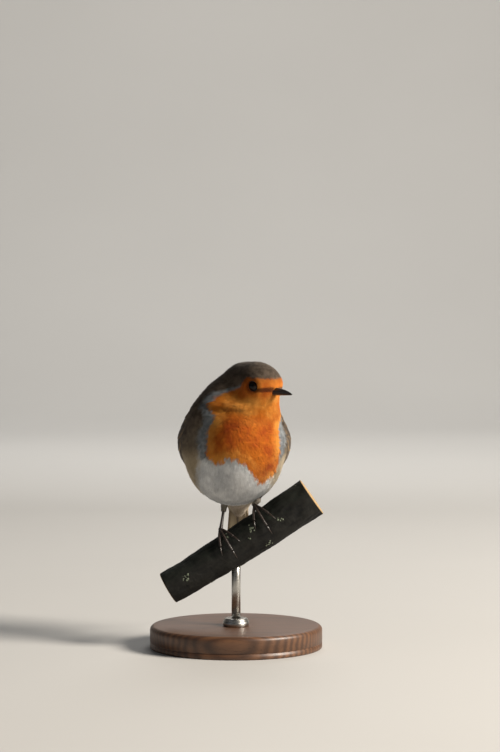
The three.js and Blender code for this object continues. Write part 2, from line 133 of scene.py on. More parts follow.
def made(name, mesh, material, slot, *nodes):
    """The finished piece: a mesh in its place, its finish, and the CAD nodes it stands for."""
    piece = linked(name, mesh)
    if not mesh.materials:
        mesh.materials.append(material)
    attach(piece, "root")
    if nodes:
        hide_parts(*nodes)
    return piece


def unit(v):
    """Directions with a length of 1."""
    return v / np.maximum(np.linalg.norm(v, axis=-1), 1e-9)[..., None]


def angles_round(count):
    """Angles spaced evenly once round."""
    return np.linspace(0, 2 * math.pi, count, endpoint=False)


def lofted(rings):
    """Points and faces of a closed skin over rings that all have the same count of points."""
    rings = np.asarray(rings, float)
    count, sides = rings.shape[:2]
    first = np.arange(sides)
    following = np.roll(first, -1)
    band = np.stack([first, following, following + sides, first + sides], 1)
    squares = np.concatenate([band + i * sides for i in range(count - 1)])
    hubs = [rings[0].mean(0), rings[-1].mean(0)]
    last = (count - 1) * sides
    hub = count * sides
    low_cap = np.stack([np.full(sides, hub), following, first], 1)
    high_cap = np.stack([np.full(sides, hub + 1), first + last, following + last], 1)
    points = np.concatenate([rings.reshape(-1, 3), hubs])
    return points, [squares, low_cap, high_cap]


def turned(profile, centre, sides=144):
    """Points and faces of a piece turned on a lathe, from a profile of radius and height."""
    angles = angles_round(sides)
    rings = [
        np.stack([centre[0] + r * np.cos(angles), centre[1] + r * np.sin(angles), angles * 0 + z], 1)
        for r, z in profile
    ]
    return lofted(rings)


def arc(centre_r, centre_z, radius, start, end, steps=8):
    """Points on a round of the profile, between two angles in degrees."""
    turns = np.radians(np.linspace(start, end, steps))
    return [(centre_r + radius * math.cos(t), centre_z + radius * math.sin(t)) for t in turns]


base_low, base_high = corners("stand_base")
base_radius = (base_high[0] - base_low[0]) / 2
base_centre = (base_low + base_high)[:2] / 2
base_top = base_high[2]
RIM_ROUND = 2.5
FELT_DEPTH = 0.6
FELT_MARGIN = 4
BOARD_TURN = (0.1, 0.0, 0.35)  # of the board's grain, in radians

profile = [(0.02, FELT_DEPTH), (base_radius - FELT_MARGIN, FELT_DEPTH), (base_radius - FELT_MARGIN, 0.0)]
profile += arc(base_radius - 0.8, 0.8, 0.8, -90, 0, 5)
profile += [(base_radius, 2.6), (base_radius - 0.45, 2.9), (base_radius - 0.45, 3.3), (base_radius, 3.6)]
profile += arc(base_radius - RIM_ROUND, base_top - RIM_ROUND, RIM_ROUND, 0, 90, 10)
profile += [(base_radius * s, base_top) for s in (0.75, 0.5, 0.25)] + [(0.02, base_top)]

# Oiled walnut: brown heartwood with darker growth lines along the board, and a soft gloss.
walnut, tree = new_finish("oiled_walnut")
place = add(tree, "ShaderNodeTexCoord").outputs["Object"]
board = add(tree, "ShaderNodeMapping", {"Vector": place, "Scale": (60, 420, 420), "Rotation": BOARD_TURN})
pores = add(tree, "ShaderNodeMapping", {"Vector": place, "Scale": (180, 2600, 2600), "Rotation": BOARD_TURN})
waves = add(tree, "ShaderNodeTexNoise", {"Vector": board, "Scale": 0.35, "Detail": 3.0})
pore = add(tree, "ShaderNodeTexNoise", {"Vector": pores, "Scale": 1.0, "Detail": 2.0})
growth = add(
    tree,
    "ShaderNodeTexWave",
    {"Vector": board, "Scale": 0.28, "Distortion": 5.0, "Detail": 3.0, "Detail Scale": 0.7},
    bands_direction="Y",
).outputs["Fac"]
shade = add(tree, "ShaderNodeMix", {"Factor": growth, "A": "#4B3324", "B": "#6E4C34"}, data_type="RGBA")
streaks = ((waves, 0.35, 0.7, 0.45, "#3A271C"), (pore, 0.58, 0.72, 0.6, "#25180F"))
for streak, low, high, most, colour in streaks:
    reach = {"Value": streak, "From Min": low, "From Max": high, "To Max": most}
    share = add(tree, "ShaderNodeMapRange", reach, interpolation_type="SMOOTHSTEP")
    shade = add(tree, "ShaderNodeMix", {"Factor": share, "A": shade, "B": colour}, data_type="RGBA")
grain = add(tree, "ShaderNodeBump", {"Height": pore, "Strength": 0.15, "Distance": 0.0001})
shader = add(tree, "ShaderNodeBsdfPrincipled", {"Base Color": shade, "Roughness": 0.42, "Normal": grain})
add(tree, "ShaderNodeOutputMaterial", {"Surface": shader})

made("turned_base", mesh_of("turned_base", *turned(profile, base_centre)), walnut, "stand_wood", "stand_base")

# Pressed wool felt: matt, with short fibres that lie every way.
felt_grain = {"Scale": 1500.0, "Detail": 3.0, "Distortion": 2.0}
woolly = {"Roughness": 0.95, "Sheen Weight": 0.3}
felt = plain_finish("wool_felt", "#26302A", "#3C4A40", felt_grain, woolly, relief=(0.5, 0.0002))
felt_radius = base_radius - FELT_MARGIN - 0.15
profile = [(0.02, 0.03), (felt_radius - 0.2, 0.03), (felt_radius, 0.15)]
profile += [(felt_radius, FELT_DEPTH), (0.02, FELT_DEPTH)]
made("felt_pad", mesh_of("felt_pad", *turned(profile, base_centre, 96)), felt, "stand_wood")

# ------------------------------------------------------------------ stand rod and collar
# A rod of stainless steel, let into the base and into a bored hole in the branch. A turned
# collar of the same steel hides the joint with the base.

rod_low, rod_high = corners("stand_rod")
rod_centre = (rod_low + rod_high)[:2] / 2
rod_radius = (rod_high[0] - rod_low[0]) / 2
collar_low, collar_high = corners("stand_collar")
collar_radius = (collar_high[0] - collar_low[0]) / 2

# Satin stainless steel: grey, with fine lines round it from the lathe.
steel, tree = new_finish("satin_stainless_steel")
place = add(tree, "ShaderNodeTexCoord").outputs["Object"]
rings_at = add(tree, "ShaderNodeMapping", {"Vector": place, "Scale": (400, 400, 9000)})
lines = add(tree, "ShaderNodeTexNoise", {"Vector": rings_at, "Scale": 1.0, "Detail": 2.0})
shade = add(tree, "ShaderNodeMix", {"Factor": lines, "A": "#A9A7A2", "B": "#C6C3BC"}, data_type="RGBA")
dull = add(
    tree,
    "ShaderNodeMapRange",
    {"Value": lines, "From Min": 0.3, "From Max": 0.7, "To Min": 0.24, "To Max": 0.38},
    interpolation_type="SMOOTHSTEP",
)
cut = add(tree, "ShaderNodeBump", {"Height": lines, "Strength": 0.12, "Distance": 0.00005})
shader = add(
    tree,
    "ShaderNodeBsdfPrincipled",
    {"Base Color": shade, "Metallic": 1.0, "Roughness": dull, "Normal": cut},
)
add(tree, "ShaderNodeOutputMaterial", {"Surface": shader})

profile = [(0.02, rod_low[2] - 1), (rod_radius, rod_low[2] - 1), (rod_radius, rod_high[2] - 0.3)]
profile += [(rod_radius - 0.3, rod_high[2]), (0.02, rod_high[2])]
made("steel_rod", mesh_of("steel_rod", *turned(profile, rod_centre, 64)), steel, "stand_metal", "stand_rod")

bore = rod_radius + 0.05
profile = [(collar_radius - 0.3, base_top + 0.02), (collar_radius, base_top + 0.3)]
profile += [(collar_radius, collar_high[2] - 1.6), (collar_radius - 0.5, collar_high[2] - 1.4)]
profile += arc(collar_radius - 1.7, collar_high[2] - 1.2, 1.2, 0, 90, 8)
profile += [(bore + 0.3, collar_high[2]), (bore, collar_high[2] - 0.3), (bore, base_top + 0.02)]


def hooped(rings):
    """Points and faces of rings that are joined in a hoop, the last one to the first."""
    count, sides = rings.shape[:2]
    first, following = np.arange(sides), np.roll(np.arange(sides), -1)
    squares = [
        np.stack([first + i * sides, following + i * sides, following + j * sides, first + j * sides], 1)
        for i, j in zip(range(count), [*range(1, count), 0])
    ]
    return rings.reshape(-1, 3), [np.concatenate(squares)[:, ::-1]]


rings = [
    [(rod_centre[0] + r * math.cos(a), rod_centre[1] + r * math.sin(a), z) for r, z in profile]
    for a in angles_round(96)
]
collar = mesh_of("steel_collar", *hooped(np.array(rings)))
made("steel_collar", collar, steel, "stand_metal", "stand_collar")

# ------------------------------------------------------------------ branch
# A short length cut from a living branch of hawthorn, sawn square at both ends. Its bark is
# thin and dark, wrinkled along its length, with a film of green algae and crusts of lichen.

perch_low, perch_high = corners("perch")
PERCH_RISE = 0.64  # the slope of its centre line at x = 0
PERCH_BEND = 0.0007  # how fast the slope grows, per mm
PERCH_RADIUS = (8.9, 11.2)  # at its lower and its upper end
BARK_STEPS, BARK_SIDES = 210, 112
BARK_SMOOTHING = 14  # rounds that ease the flats of the CAD solid into a round
SAWN_RINGS = 9
ROD_CLEAR = 20  # a place along the branch that is clear of rod and feet


def eased(x, start, end):
    """0 before start, 1 after end, and a soft step between. Start may be the larger."""
    share = np.clip((np.asarray(x, float) - start) / (end - start), 0, 1)
    return share * share * (3 - 2 * share)


def tree_of(*nodes):
    """The surface of some CAD nodes, in millimetres, for casting rays at."""
    points, triangles = [], []
    for node in nodes:
        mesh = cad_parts[node].data
        start = len(points)
        points += [v.co / MM for v in mesh.vertices]
        triangles += [[start + i for i in face.vertices] for face in mesh.polygons]
    return BVHTree.FromPolygons(points, triangles)


def away_from(spot, points):
    """How far points lie from a spot."""
    return np.linalg.norm(points - spot, axis=-1)


def reach_of(surface, axis, ray, far, otherwise=None):
    """How far a surface lies out from an axis along a ray, as met from far outside it."""
    hit = surface.ray_cast(Vector(axis + ray * far), Vector(-ray), far)
    return far - hit[3] if hit[0] else otherwise


def noise_at(points, size, seed=0.0, octaves=3):
    """Soft noise from about -1 to 1, whose lumps are about size across."""
    shift = Vector((seed, seed * 0.7, -seed))
    form = {"noise_basis": "PERLIN_ORIGINAL"}
    return np.array([noise.fractal(Vector(p) / size + shift, 1.0, 2.0, octaves, **form) for p in points])


perch_y = (perch_low[1] + perch_high[1]) / 2
perch_x = (perch_low[0] + PERCH_RADIUS[0] * 0.52, perch_high[0] - PERCH_RADIUS[1] * 0.57)
perch_bark = tree_of("perch")


def perch_line(x, middle):
    """A place on the branch's centre line, the line's own direction there, and the way up."""
    slope = PERCH_RISE + 2 * PERCH_BEND * x
    along = np.array([1, 0, slope]) / math.hypot(1, slope)
    up = np.array([-along[2], 0, along[0]])
    return np.array([x, perch_y, middle + PERCH_RISE * x + PERCH_BEND * x * x]), along, up


# The height of the centre line is halfway between the bark above and below, clear of the rod.
above = perch_bark.ray_cast(Vector((ROD_CLEAR, perch_y, 300)), Vector((0, 0, -1)))[0]
below = perch_bark.ray_cast(Vector((ROD_CLEAR, perch_y, -50)), Vector((0, 0, 1)))[0]
perch_middle = (above.z + below.z) / 2 - PERCH_RISE * ROD_CLEAR - PERCH_BEND * ROD_CLEAR**2

rings, radii = [], []
for step in range(BARK_STEPS + 1):
    share = step / BARK_STEPS
    spot, along, up = perch_line(perch_x[0] + (perch_x[1] - perch_x[0]) * share, perch_middle)
    usual = PERCH_RADIUS[0] + (PERCH_RADIUS[1] - PERCH_RADIUS[0]) * share
    ring, reach = [], []
    for angle in angles_round(BARK_SIDES):
        ray = up * math.cos(angle) - np.array([0, 1, 0]) * math.sin(angle)
        found = reach_of(perch_bark, spot, ray, 25, 0)
        reach.append(found if 6 < found < 14 else usual)  # no feet, and not the open end
        ring.append(ray)
    rings.append((spot, np.array(ring)))
    radii.append(reach)
radii = np.array(radii)
for turn in range(BARK_SMOOTHING):
    radii = (np.roll(radii, 1, 1) + np.roll(radii, -1, 1) + radii * 2) / 4
    inner = (radii[:-2] + radii[2:] + radii[1:-1] * 2) / 4
    radii = np.concatenate([radii[:1], inner, radii[-1:]])
flat = np.concatenate([spot + ring * r[:, None] for (spot, ring), r in zip(rings, radii)])
lengthwise = np.repeat(np.arange(BARK_STEPS + 1), BARK_SIDES) * (perch_x[1] - perch_x[0]) * 1.2 / BARK_STEPS
way_round = np.tile(np.arange(BARK_SIDES), BARK_STEPS + 1) * 2 * math.pi / BARK_SIDES
# The furrows run along the branch: the noise is wrapped round it, and drawn out lengthwise.
wrapped = np.stack([np.cos(way_round) * 10, np.sin(way_round) * 10, lengthwise * 0.22], 1)
furrow = -np.abs(noise_at(wrapped, 2.6, 3.1, 3)) * 2 + 0.55
knots = noise_at(flat, 9.0, 7.7, 2)
fine = noise_at(flat, 0.9, 1.3, 2)
relief = np.clip((0.26 * furrow + 0.3 * knots + 0.09 * fine).reshape(radii.shape), -0.7, 0.28)
rings = np.array([spot + ring * (r + d)[:, None] for (spot, ring), r, d in zip(rings, radii, relief)])


def mark(mesh, **values):
    """Values for each point of a mesh, for its material to read."""
    for name, value in values.items():
        layer = mesh.attributes.new(name, "FLOAT", "POINT")
        layer.data.foreach_set("value", np.asarray(value, np.float32))


def sawn(ring, outward):
    """Rings that close a sawn end, with a worn edge and a slight hollow at the pith."""
    hub = ring.mean(0)
    ends = []
    for step in range(1, SAWN_RINGS + 1):
        share = 1 - step / (SAWN_RINGS + 0.5)
        lift = 0.35 if step == 1 else 0.42 - 0.25 * (1 - share) ** 3
        ends.append(hub + (ring - hub) * (0.975 if step == 1 else share) + outward * lift)
    return ends


low_end = sawn(rings[0], -perch_line(perch_x[0], perch_middle)[1])[::-1]
high_end = sawn(rings[-1], perch_line(perch_x[1], perch_middle)[1])
points, faces = lofted([*low_end, *rings, *high_end])
bark_mesh = mesh_of("branch", points, faces)
edge = len(low_end) * BARK_SIDES
cut_face = np.ones(len(points))
cut_face[edge : edge + rings.shape[0] * BARK_SIDES] = 0
depth = np.zeros(len(points))
depth[edge : edge + relief.size] = relief.ravel()
pith = np.zeros(len(points))
for ends, start, count in ((low_end, 0, len(low_end)), (high_end, edge + relief.size, len(high_end))):
    hub = ends[0].mean(0)
    block = slice(start, start + count * BARK_SIDES)
    pith[block] = away_from(hub, points[block])
mark(bark_mesh, sawn=cut_face, relief=depth, pith=pith)

# Hawthorn bark: nearly black in the furrows, grey-brown on the ridges, green with algae on
# top, and matt. The sawn wood is pale, with a growth ring about every 0.8 mm.
GROWTH_RINGS = 7.8  # radians of a wave for each millimetre from the pith
bark, tree = new_finish("hawthorn_bark")
place = add(tree, "ShaderNodeTexCoord").outputs["Object"]
sawn_at, relief_at, pith_at = (
    add(tree, "ShaderNodeAttribute", attribute_name=name).outputs["Fac"]
    for name in ("sawn", "relief", "pith")
)
blotch = add(tree, "ShaderNodeTexNoise", {"Vector": place, "Scale": 120.0, "Detail": 5.0, "Roughness": 0.65})
grit = add(tree, "ShaderNodeTexNoise", {"Vector": place, "Scale": 1100.0, "Detail": 3.0})
facing = add(tree, "ShaderNodeNewGeometry").outputs["Normal"]
upward = add(tree, "ShaderNodeSeparateXYZ", {"Vector": facing}).outputs["Z"]
reach = {"Value": upward, "From Min": -0.3, "From Max": 0.8}
damp = add(tree, "ShaderNodeMapRange", reach, interpolation_type="SMOOTHSTEP")
damp = add(tree, "ShaderNodeMath", {0: damp, 1: blotch}, operation="MULTIPLY")
growth = add(tree, "ShaderNodeMath", {0: pith_at, 1: GROWTH_RINGS}, operation="MULTIPLY")
growth = add(tree, "ShaderNodeMath", {0: growth}, operation="SINE")
coats = (
    ("#070706", relief_at, -0.35, 0.25, 1.0, "#171612"),
    (None, blotch, 0.5, 0.75, 0.5, "#211F1A"),
    (None, damp, 0.12, 0.5, 0.6, "#171D15"),
    (None, grit, 0.55, 0.85, 0.3, "#2F2D26"),
    ("#B79A6E", growth, -0.2, 1.0, 1.0, "#8F7148"),
    (None, grit, 0.45, 0.75, 0.4, "#7A5F3C"),
)
grounds = []
for ground, follows, low, high, most, colour in coats:  # each row tints what the row above made
    if ground:
        grounds.append(ground)
    reach = {"Value": follows, "From Min": low, "From Max": high, "To Max": most}
    share = add(tree, "ShaderNodeMapRange", reach, interpolation_type="SMOOTHSTEP")
    links = {"Factor": share, "A": grounds[-1], "B": colour}
    grounds[-1] = add(tree, "ShaderNodeMix", links, data_type="RGBA")
rind, wood = grounds
shade = add(tree, "ShaderNodeMix", {"Factor": sawn_at, "A": rind, "B": wood}, data_type="RGBA")
crust = add(tree, "ShaderNodeBump", {"Height": grit, "Strength": 0.5, "Distance": 0.0002})
shader = add(
    tree,
    "ShaderNodeBsdfPrincipled",
    {"Base Color": shade, "Roughness": 0.82, "Specular IOR Level": 0.3, "Normal": crust},
)
add(tree, "ShaderNodeOutputMaterial", {"Surface": shader})
branch = made("branch", bark_mesh, bark, "bark", "perch")

# Crust lichen: grey green, dry and matt. It is scattered over the bark as small crusts, in patches.
lichen_grain = {"Scale": 900.0, "Detail": 3.0}
dry = {"Roughness": 0.95, "Specular IOR Level": 0.2}
lichen = plain_finish("crust_lichen", "#565E4E", "#868C79", lichen_grain, dry)

group = bpy.data.node_groups.new("lichen_crusts", "GeometryNodeTree")
face = group.interface
face.new_socket("Bark", in_out="INPUT", socket_type="NodeSocketGeometry")
sizes = {"Spacing": 0.0006, "Patch size": 0.009, "Crust radius": 0.0004, "Unevenness": 0.0005}
dial = {"in_out": "INPUT", "socket_type": "NodeSocketFloat"}
sockets = {name: face.new_socket(name, **dial).identifier for name in sizes}
face.new_socket("Crusts", in_out="OUTPUT", socket_type="NodeSocketGeometry")
entry = add(group, "NodeGroupInput").outputs
where = add(group, "GeometryNodeInputPosition").outputs[0]
per_metre = add(group, "ShaderNodeMath", {0: 1.0, 1: entry["Patch size"]}, operation="DIVIDE")
patches = add(group, "ShaderNodeTexNoise", {"Vector": where, "Scale": per_metre, "Detail": 2.0})
chosen = add(group, "FunctionNodeCompare", {0: patches, 1: 0.66}, operation="GREATER_THAN")
strewn = {"Mesh": entry["Bark"], "Selection": chosen, "Distance Min": entry["Spacing"], "Density Max": 9e5}
strewn["Seed"] = 4
spread = add(group, "GeometryNodeDistributePointsOnFaces", strewn, distribute_method="POISSON").outputs
crumb = add(group, "GeometryNodeMeshUVSphere", {"Segments": 10, "Rings": 6, "Radius": entry["Crust radius"]})
pressed = add(group, "GeometryNodeTransform", {"Geometry": crumb, "Scale": (1.0, 1.0, 0.32)})
grown = add(group, "FunctionNodeRandomValue", {2: 0.3, 3: 1.8, "Seed": 9}, data_type="FLOAT")
links = {"Points": spread["Points"], "Rotation": spread["Rotation"]}
links |= {"Instance": pressed, "Scale": grown.outputs[1]}
placed = add(group, "GeometryNodeInstanceOnPoints", links)
real = add(group, "GeometryNodeRealizeInstances", {"Geometry": placed})
crumpled = add(group, "ShaderNodeTexNoise", {"Vector": where, "Scale": 1600.0, "Detail": 1.0})
off = {0: crumpled.outputs["Color"], 1: (0.5, 0.5, 0.5)}
off = add(group, "ShaderNodeVectorMath", off, operation="SUBTRACT")
off = add(group, "ShaderNodeVectorMath", {0: off, "Scale": entry["Unevenness"]}, operation="SCALE")
uneven = add(group, "GeometryNodeSetPosition", {"Geometry": real, "Offset": off})
coloured = add(group, "GeometryNodeSetMaterial", {"Geometry": uneven, "Material": lichen})
add(group, "NodeGroupOutput", {"Crusts": coloured})
grower = branch.modifiers.new("lichen_crusts", "NODES")
grower.node_group = group
for name, size in sizes.items():
    grower[sockets[name]] = size
depsgraph = bpy.context.evaluated_depsgraph_get()
crusts = bpy.data.meshes.new_from_object(branch.evaluated_get(depsgraph))
branch.modifiers.remove(grower)
crusts.name = "lichen"
made("lichen", crusts, lichen, "bark")

# ------------------------------------------------------------------ feet, legs and claws
# Bare legs of a small songbird: skin under smooth horny scutes, dark brown. Three toes grip
# over the front of the branch and one behind it, and each ends in a thin curved claw.


def welded(nodes, grow=0.0):
    """One mesh of CAD nodes, grown a little so that pieces that nearly touch join."""
    shape = bmesh.new()
    for node in nodes:
        shape.from_mesh(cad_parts[node].data)
    bmesh.ops.remove_doubles(shape, verts=shape.verts, dist=1e-6)
    shape.normal_update()
    for vert in shape.verts:
        vert.co += vert.normal * grow * MM
    mesh = bpy.data.meshes.new("copy")
    shape.to_mesh(mesh)
    shape.free()
    return mesh


def modified(mesh, kind, **settings):
    """What one modifier makes of a mesh."""
    piece = linked("copy", mesh)
    modifier = piece.modifiers.new("change", kind)
    for name, value in settings.items():
        setattr(modifier, name, value)
    after = bpy.data.meshes.new_from_object(piece.evaluated_get(bpy.context.evaluated_depsgraph_get()))
    bpy.data.objects.remove(piece)
    return after


def remeshed(nodes, voxel, grow=0.0):
    """Points and squares of one closed skin over CAD nodes."""
    after = modified(welded(nodes, grow), "REMESH", mode="VOXEL", voxel_size=voxel * MM)
    points = np.empty(len(after.vertices) * 3, np.float32)
    after.vertices.foreach_get("co", points)
    squares = np.empty(len(after.polygons) * 4, np.int32)
    after.polygons.foreach_get("vertices", squares)
    return largest_shell(points.reshape(-1, 3).astype(float) / MM, squares.reshape(-1, 4))


def largest_shell(points, squares):
    """Only the biggest connected part of a mesh, so that no pocket is left inside."""
    label = np.arange(len(points))
    while True:
        lowest = label[squares].min(1)
        fresh = label.copy()
        for corner in range(4):
            np.minimum.at(fresh, squares[:, corner], lowest)
        fresh = fresh[fresh]
        if (fresh == label).all():
            break
        label = fresh
    names, counts = np.unique(label, return_counts=True)
    keep = label == names[counts.argmax()]
    renumbered = np.cumsum(keep) - 1
    return points[keep], renumbered[squares[keep[squares[:, 0]]]]


def relaxed(points, squares, rounds, keep_size=True):
    """The points drawn towards their neighbours, with the loss of size given back."""
    ends = np.concatenate([squares[:, [corner, (corner + 1) % 4]] for corner in range(4)]).T
    ends, others = np.concatenate([ends, ends[::-1]], 1)
    count = np.bincount(ends, minlength=len(points))
    for turn in range(rounds):
        for amount in (0.5, -0.52) if keep_size else (0.5,):
            total = [np.bincount(ends, points[others, k], len(points)) for k in range(3)]
            points = points + (np.stack(total, 1) / count[:, None] - points) * amount
    return points


def normals_of(points, squares):
    """The outward direction at each point of a mesh of squares."""
    a, b, c, d = (points[squares[:, corner]] for corner in range(4))
    across = np.cross(c - a, d - b)
    total = [sum(np.bincount(squares[:, c], across[:, k], len(points)) for c in range(4)) for k in range(3)]
    return unit(np.stack(total, 1))


# Leg scutes: dark brown horn over skin, paler between the plates, with a dull gloss.
scutes, tree = new_finish("leg_scutes")
place = add(tree, "ShaderNodeTexCoord").outputs["Object"]
plate_at = add(tree, "ShaderNodeAttribute", attribute_name="plate").outputs["Fac"]
stain = add(tree, "ShaderNodeTexNoise", {"Vector": place, "Scale": 500.0, "Detail": 4.0})
pebble = add(tree, "ShaderNodeTexVoronoi", {"Vector": place, "Scale": 3800.0})
reach = {"Value": plate_at, "From Min": 0.75, "From Max": 1.0}
seam = add(tree, "ShaderNodeMapRange", reach, interpolation_type="SMOOTHSTEP")
shade = add(tree, "ShaderNodeMix", {"Factor": stain, "A": "#19130F", "B": "#2E231E"}, data_type="RGBA")
shade = add(tree, "ShaderNodeMix", {"Factor": seam, "A": shade, "B": "#4A3B32"}, data_type="RGBA")
ridges = add(tree, "ShaderNodeBump", {"Height": pebble, "Strength": 0.3, "Distance": 0.00005})
shader = add(tree, "ShaderNodeBsdfPrincipled", {"Base Color": shade, "Roughness": 0.45, "Normal": ridges})
add(tree, "ShaderNodeOutputMaterial", {"Surface": shader})

# Claw horn: nearly black with paler streaks, smooth and glossy.
claw_grain = {"Scale": 900.0, "Detail": 2.0}
horn = plain_finish("claw_horn", "#15110E", "#3A2E26", claw_grain, {"Roughness": 0.3})

FOOT_VOXEL, FOOT_SMOOTHING = 0.2, 6
SCUTE_PITCH, SCUTE_STEP = 1.05, 0.09  # from plate to plate, and how far each stands over the next
SHANK_RINGS, SHANK_SIDES = 90, 20
SHANK_LENGTH = 25  # of the whole tarsus
TOES = ("inner", "middle", "outer", "hind")
legs = {}
for name in ("left", "right"):
    points, squares = remeshed([f"foot_{name}"], FOOT_VOXEL)
    points = relaxed(points, squares, FOOT_SMOOTHING)
    out = normals_of(points, squares)
    shin = np.array([v.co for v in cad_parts[f"tarsus_{name}"].data.vertices]) / MM
    order = np.argsort(shin[:, 2])
    shin_low = shin[order[: len(shin) // 3]].mean(0)
    shin_high = shin[order[-len(shin) // 3 :]].mean(0)
    upward = unit(shin_high - shin_low)
    palm = shin_low - upward * ((shin_low[2] - shin[:, 2].min()) / upward[2] + 1.3)
    legs[name] = (palm, upward, shin[:, 2].max())
    gone = away_from(palm, points)
    ring = (gone / SCUTE_PITCH) % 1.0
    over = eased(out[:, 2] - 0.6 * out[:, 1], -0.2, 0.4) * eased(gone, 1.6, 3.0)
    points = points + out * (SCUTE_STEP * over * (0.5 - eased(ring, 0.72, 1.0)))[:, None]
    mesh = mesh_of(f"toes_{name}", points, [squares])
    mark(mesh, plate=ring * over)
    made(f"toes_{name}", mesh, scutes, "leg_scales", f"foot_{name}")

    high = (legs[name][2] - palm[2]) / upward[2] + 4.0
    across = unit(np.cross(upward, [0, -1, 0]))
    ahead = np.cross(across, upward)
    angles = angles_round(SHANK_SIDES)
    outline = np.cos(angles)[:, None] * ahead * 1.08 + np.sin(angles)[:, None] * across * 0.92
    front = eased(np.cos(angles), -0.1, 0.5)
    rings, plates = [], []
    for step in range(SHANK_RINGS + 1):
        gone = 0.3 + (high - 0.3) * step / SHANK_RINGS
        share = gone / SHANK_LENGTH
        radius = 0.82 + 0.45 * (1 - share) ** 6 + 0.35 * share**4
        ring = (gone / SCUTE_PITCH) % 1.0
        reach = radius + SCUTE_STEP * 0.9 * front * (0.5 - eased(ring, 0.75, 1.0)) - 0.06 * (1 - front)
        rings.append(palm + upward * gone + reach[:, None] * outline)
        plates.append(ring * front)
    mesh = mesh_of(f"shank_{name}", *lofted(rings))
    mark(mesh, plate=np.concatenate([*plates, [0, 0]]))
    made(f"shank_{name}", mesh, scutes, "leg_scales", f"tarsus_{name}")

    claws = [f"claw_{name}_{toe}" for toe in TOES]
    mesh = modified(welded(claws), "SUBSURF", levels=2, render_levels=2)
    mesh.name = f"claws_{name}"
    mesh.shade_smooth()
    made(f"claws_{name}", mesh, horn, "claw_horn", *claws)

# ------------------------------------------------------------------ skin
# The bird's skin under its plumage: one closed form over trunk, neck, head and thighs, set in
# from the plumage's outline by the coat's depth. It carries the plumage's colours darkened,
# as the downy bases of the feathers do, and bare rims of lid close round the eyes.

TRUNK_PITCH = 50  # of the trunk's long axis, below the horizontal
EYE_FORWARD, EYE_UP = 4.2, -1.1  # of the eyes from the head's middle
HEAD_FROM_TRUNK = np.array([13.0, -9.0, 37.3])
SKIN_VOXEL, SKIN_GROW, SKIN_SMOOTHING = 0.65, 0.3, 26
BROW_RISE, BROW_RADIUS, BROW_REACH = 0.85, 4.3, 9  # round each eye
CHEEK_RISE, CREASE_DEPTH = 0.8, 0.7  # of the fold under the turned cheek
up = np.array([0.0, 0.0, 1.0])
eye_at = {side: sum(corners(f"eye_{side}")) / 2 for side in ("left", "right")}
eye_radius = (corners("eye_left")[1] - corners("eye_left")[0])[2] / 2
EYE_SET_IN = 0.5  # the eyeballs lie this much deeper under the lids than the CAD's
leftward = unit(eye_at["left"] - eye_at["right"])
forward = np.cross(leftward, up)
head_middle = (eye_at["left"] + eye_at["right"]) / 2 - forward * EYE_FORWARD - up * EYE_UP
trunk_middle = head_middle - HEAD_FROM_TRUNK
pitch = math.radians(TRUNK_PITCH)
tailward = np.array([0.0, math.cos(pitch), -math.sin(pitch)])
dorsal = np.array([0.0, math.sin(pitch), math.cos(pitch)])
bill_root = head_middle + forward * 10.0 - up * 4.0
COAT_LEAST, COAT_MOST = 0.45, 2.1  # mm, and half a millimetre more low on the belly


def in_head(p):
    """Places from the head's middle: forward, to the bird's left, up."""
    d = p - head_middle
    return d @ forward, d @ leftward, d[..., 2]


def in_trunk(p):
    """Places from the trunk's middle: to the bird's left, tailward, out of the back."""
    d = p - trunk_middle
    return d[..., 0], d @ tailward, d @ dorsal


def coat_depth(p):
    """How far the plumage stands off the skin, in mm: least at the bill, most on the belly."""
    depth = np.clip(COAT_LEAST + 0.068 * (away_from(bill_root, p) - 4), COAT_LEAST, COAT_MOST)
    depth = depth + 0.5 * eased(p[..., 2], 112, 95)
    return depth * (1 - 0.45 * eased(in_trunk(p)[1], 26, 42))


def bearing(p):
    """The angle round the upright axis from the front, towards the bird's left, in degrees."""
    heights = [118, 128, 138]
    middle_x = np.interp(p[..., 2], heights, [-1, 4, 12])
    middle_y = np.interp(p[..., 2], heights, [0, -3, -9])
    return np.degrees(np.arctan2(p[..., 0] - middle_x, -(p[..., 1] - middle_y)))


# The orange bib, by height: the bearing of its middle, and its half width in degrees.
BIB_HEIGHTS = [88, 95, 103, 110, 120, 124, 128, 133, 138]
BIB_MIDDLES = [15, 15, 15, 15, 17, 24, 36, 46, 50]
BIB_WIDTHS = [46, 46, 46, 46, 48, 60, 90, 115, 132]
# Its lower margin: two lobes with the white of the belly between them.
HEM_BEARINGS = [-34, -27, -20, -15, -9, 2, 9, 18, 26, 34, 42, 50, 57, 64, 70, 76]
HEM_HEIGHTS = [106, 103, 100.5, 100.5, 103, 103, 101, 98, 94, 91, 89.5, 91.5, 94.5, 97, 103, 110]
# Its upper margin on the head: how high it reaches, by the place forward of the head's middle.
MASK_FORWARDS = [-14, -9.5, -5, -2.5, -0.8, 0.8, 2.8, 5, 8, 14]
MASK_HEIGHTS = [-8, -5.0, -3.3, -1.9, 0.9, 2.8, 2.9, 2.6, 2.5, 2.4]


def off_bib(p):
    """How far outside the orange each place lies, in mm: below 0 inside it."""
    z = p[..., 2]
    turn = bearing(p)
    aside = (turn - np.interp(z, BIB_HEIGHTS, BIB_MIDDLES) + 180) % 360 - 180
    sideways = (np.abs(aside) - np.interp(z, BIB_HEIGHTS, BIB_WIDTHS)) * math.pi / 180
    sideways = sideways * np.interp(z, [100, 120, 138], [26, 24, 13])  # times the body's radius
    ahead, left, high = in_head(p)
    over = (high - np.interp(ahead, MASK_FORWARDS, MASK_HEIGHTS)) * 0.85
    over = np.where(z > 126, over, -9.0)
    under = (np.interp(turn, HEM_BEARINGS, HEM_HEIGHTS) - z) * 0.85
    return np.maximum(np.maximum(sideways, over), under)


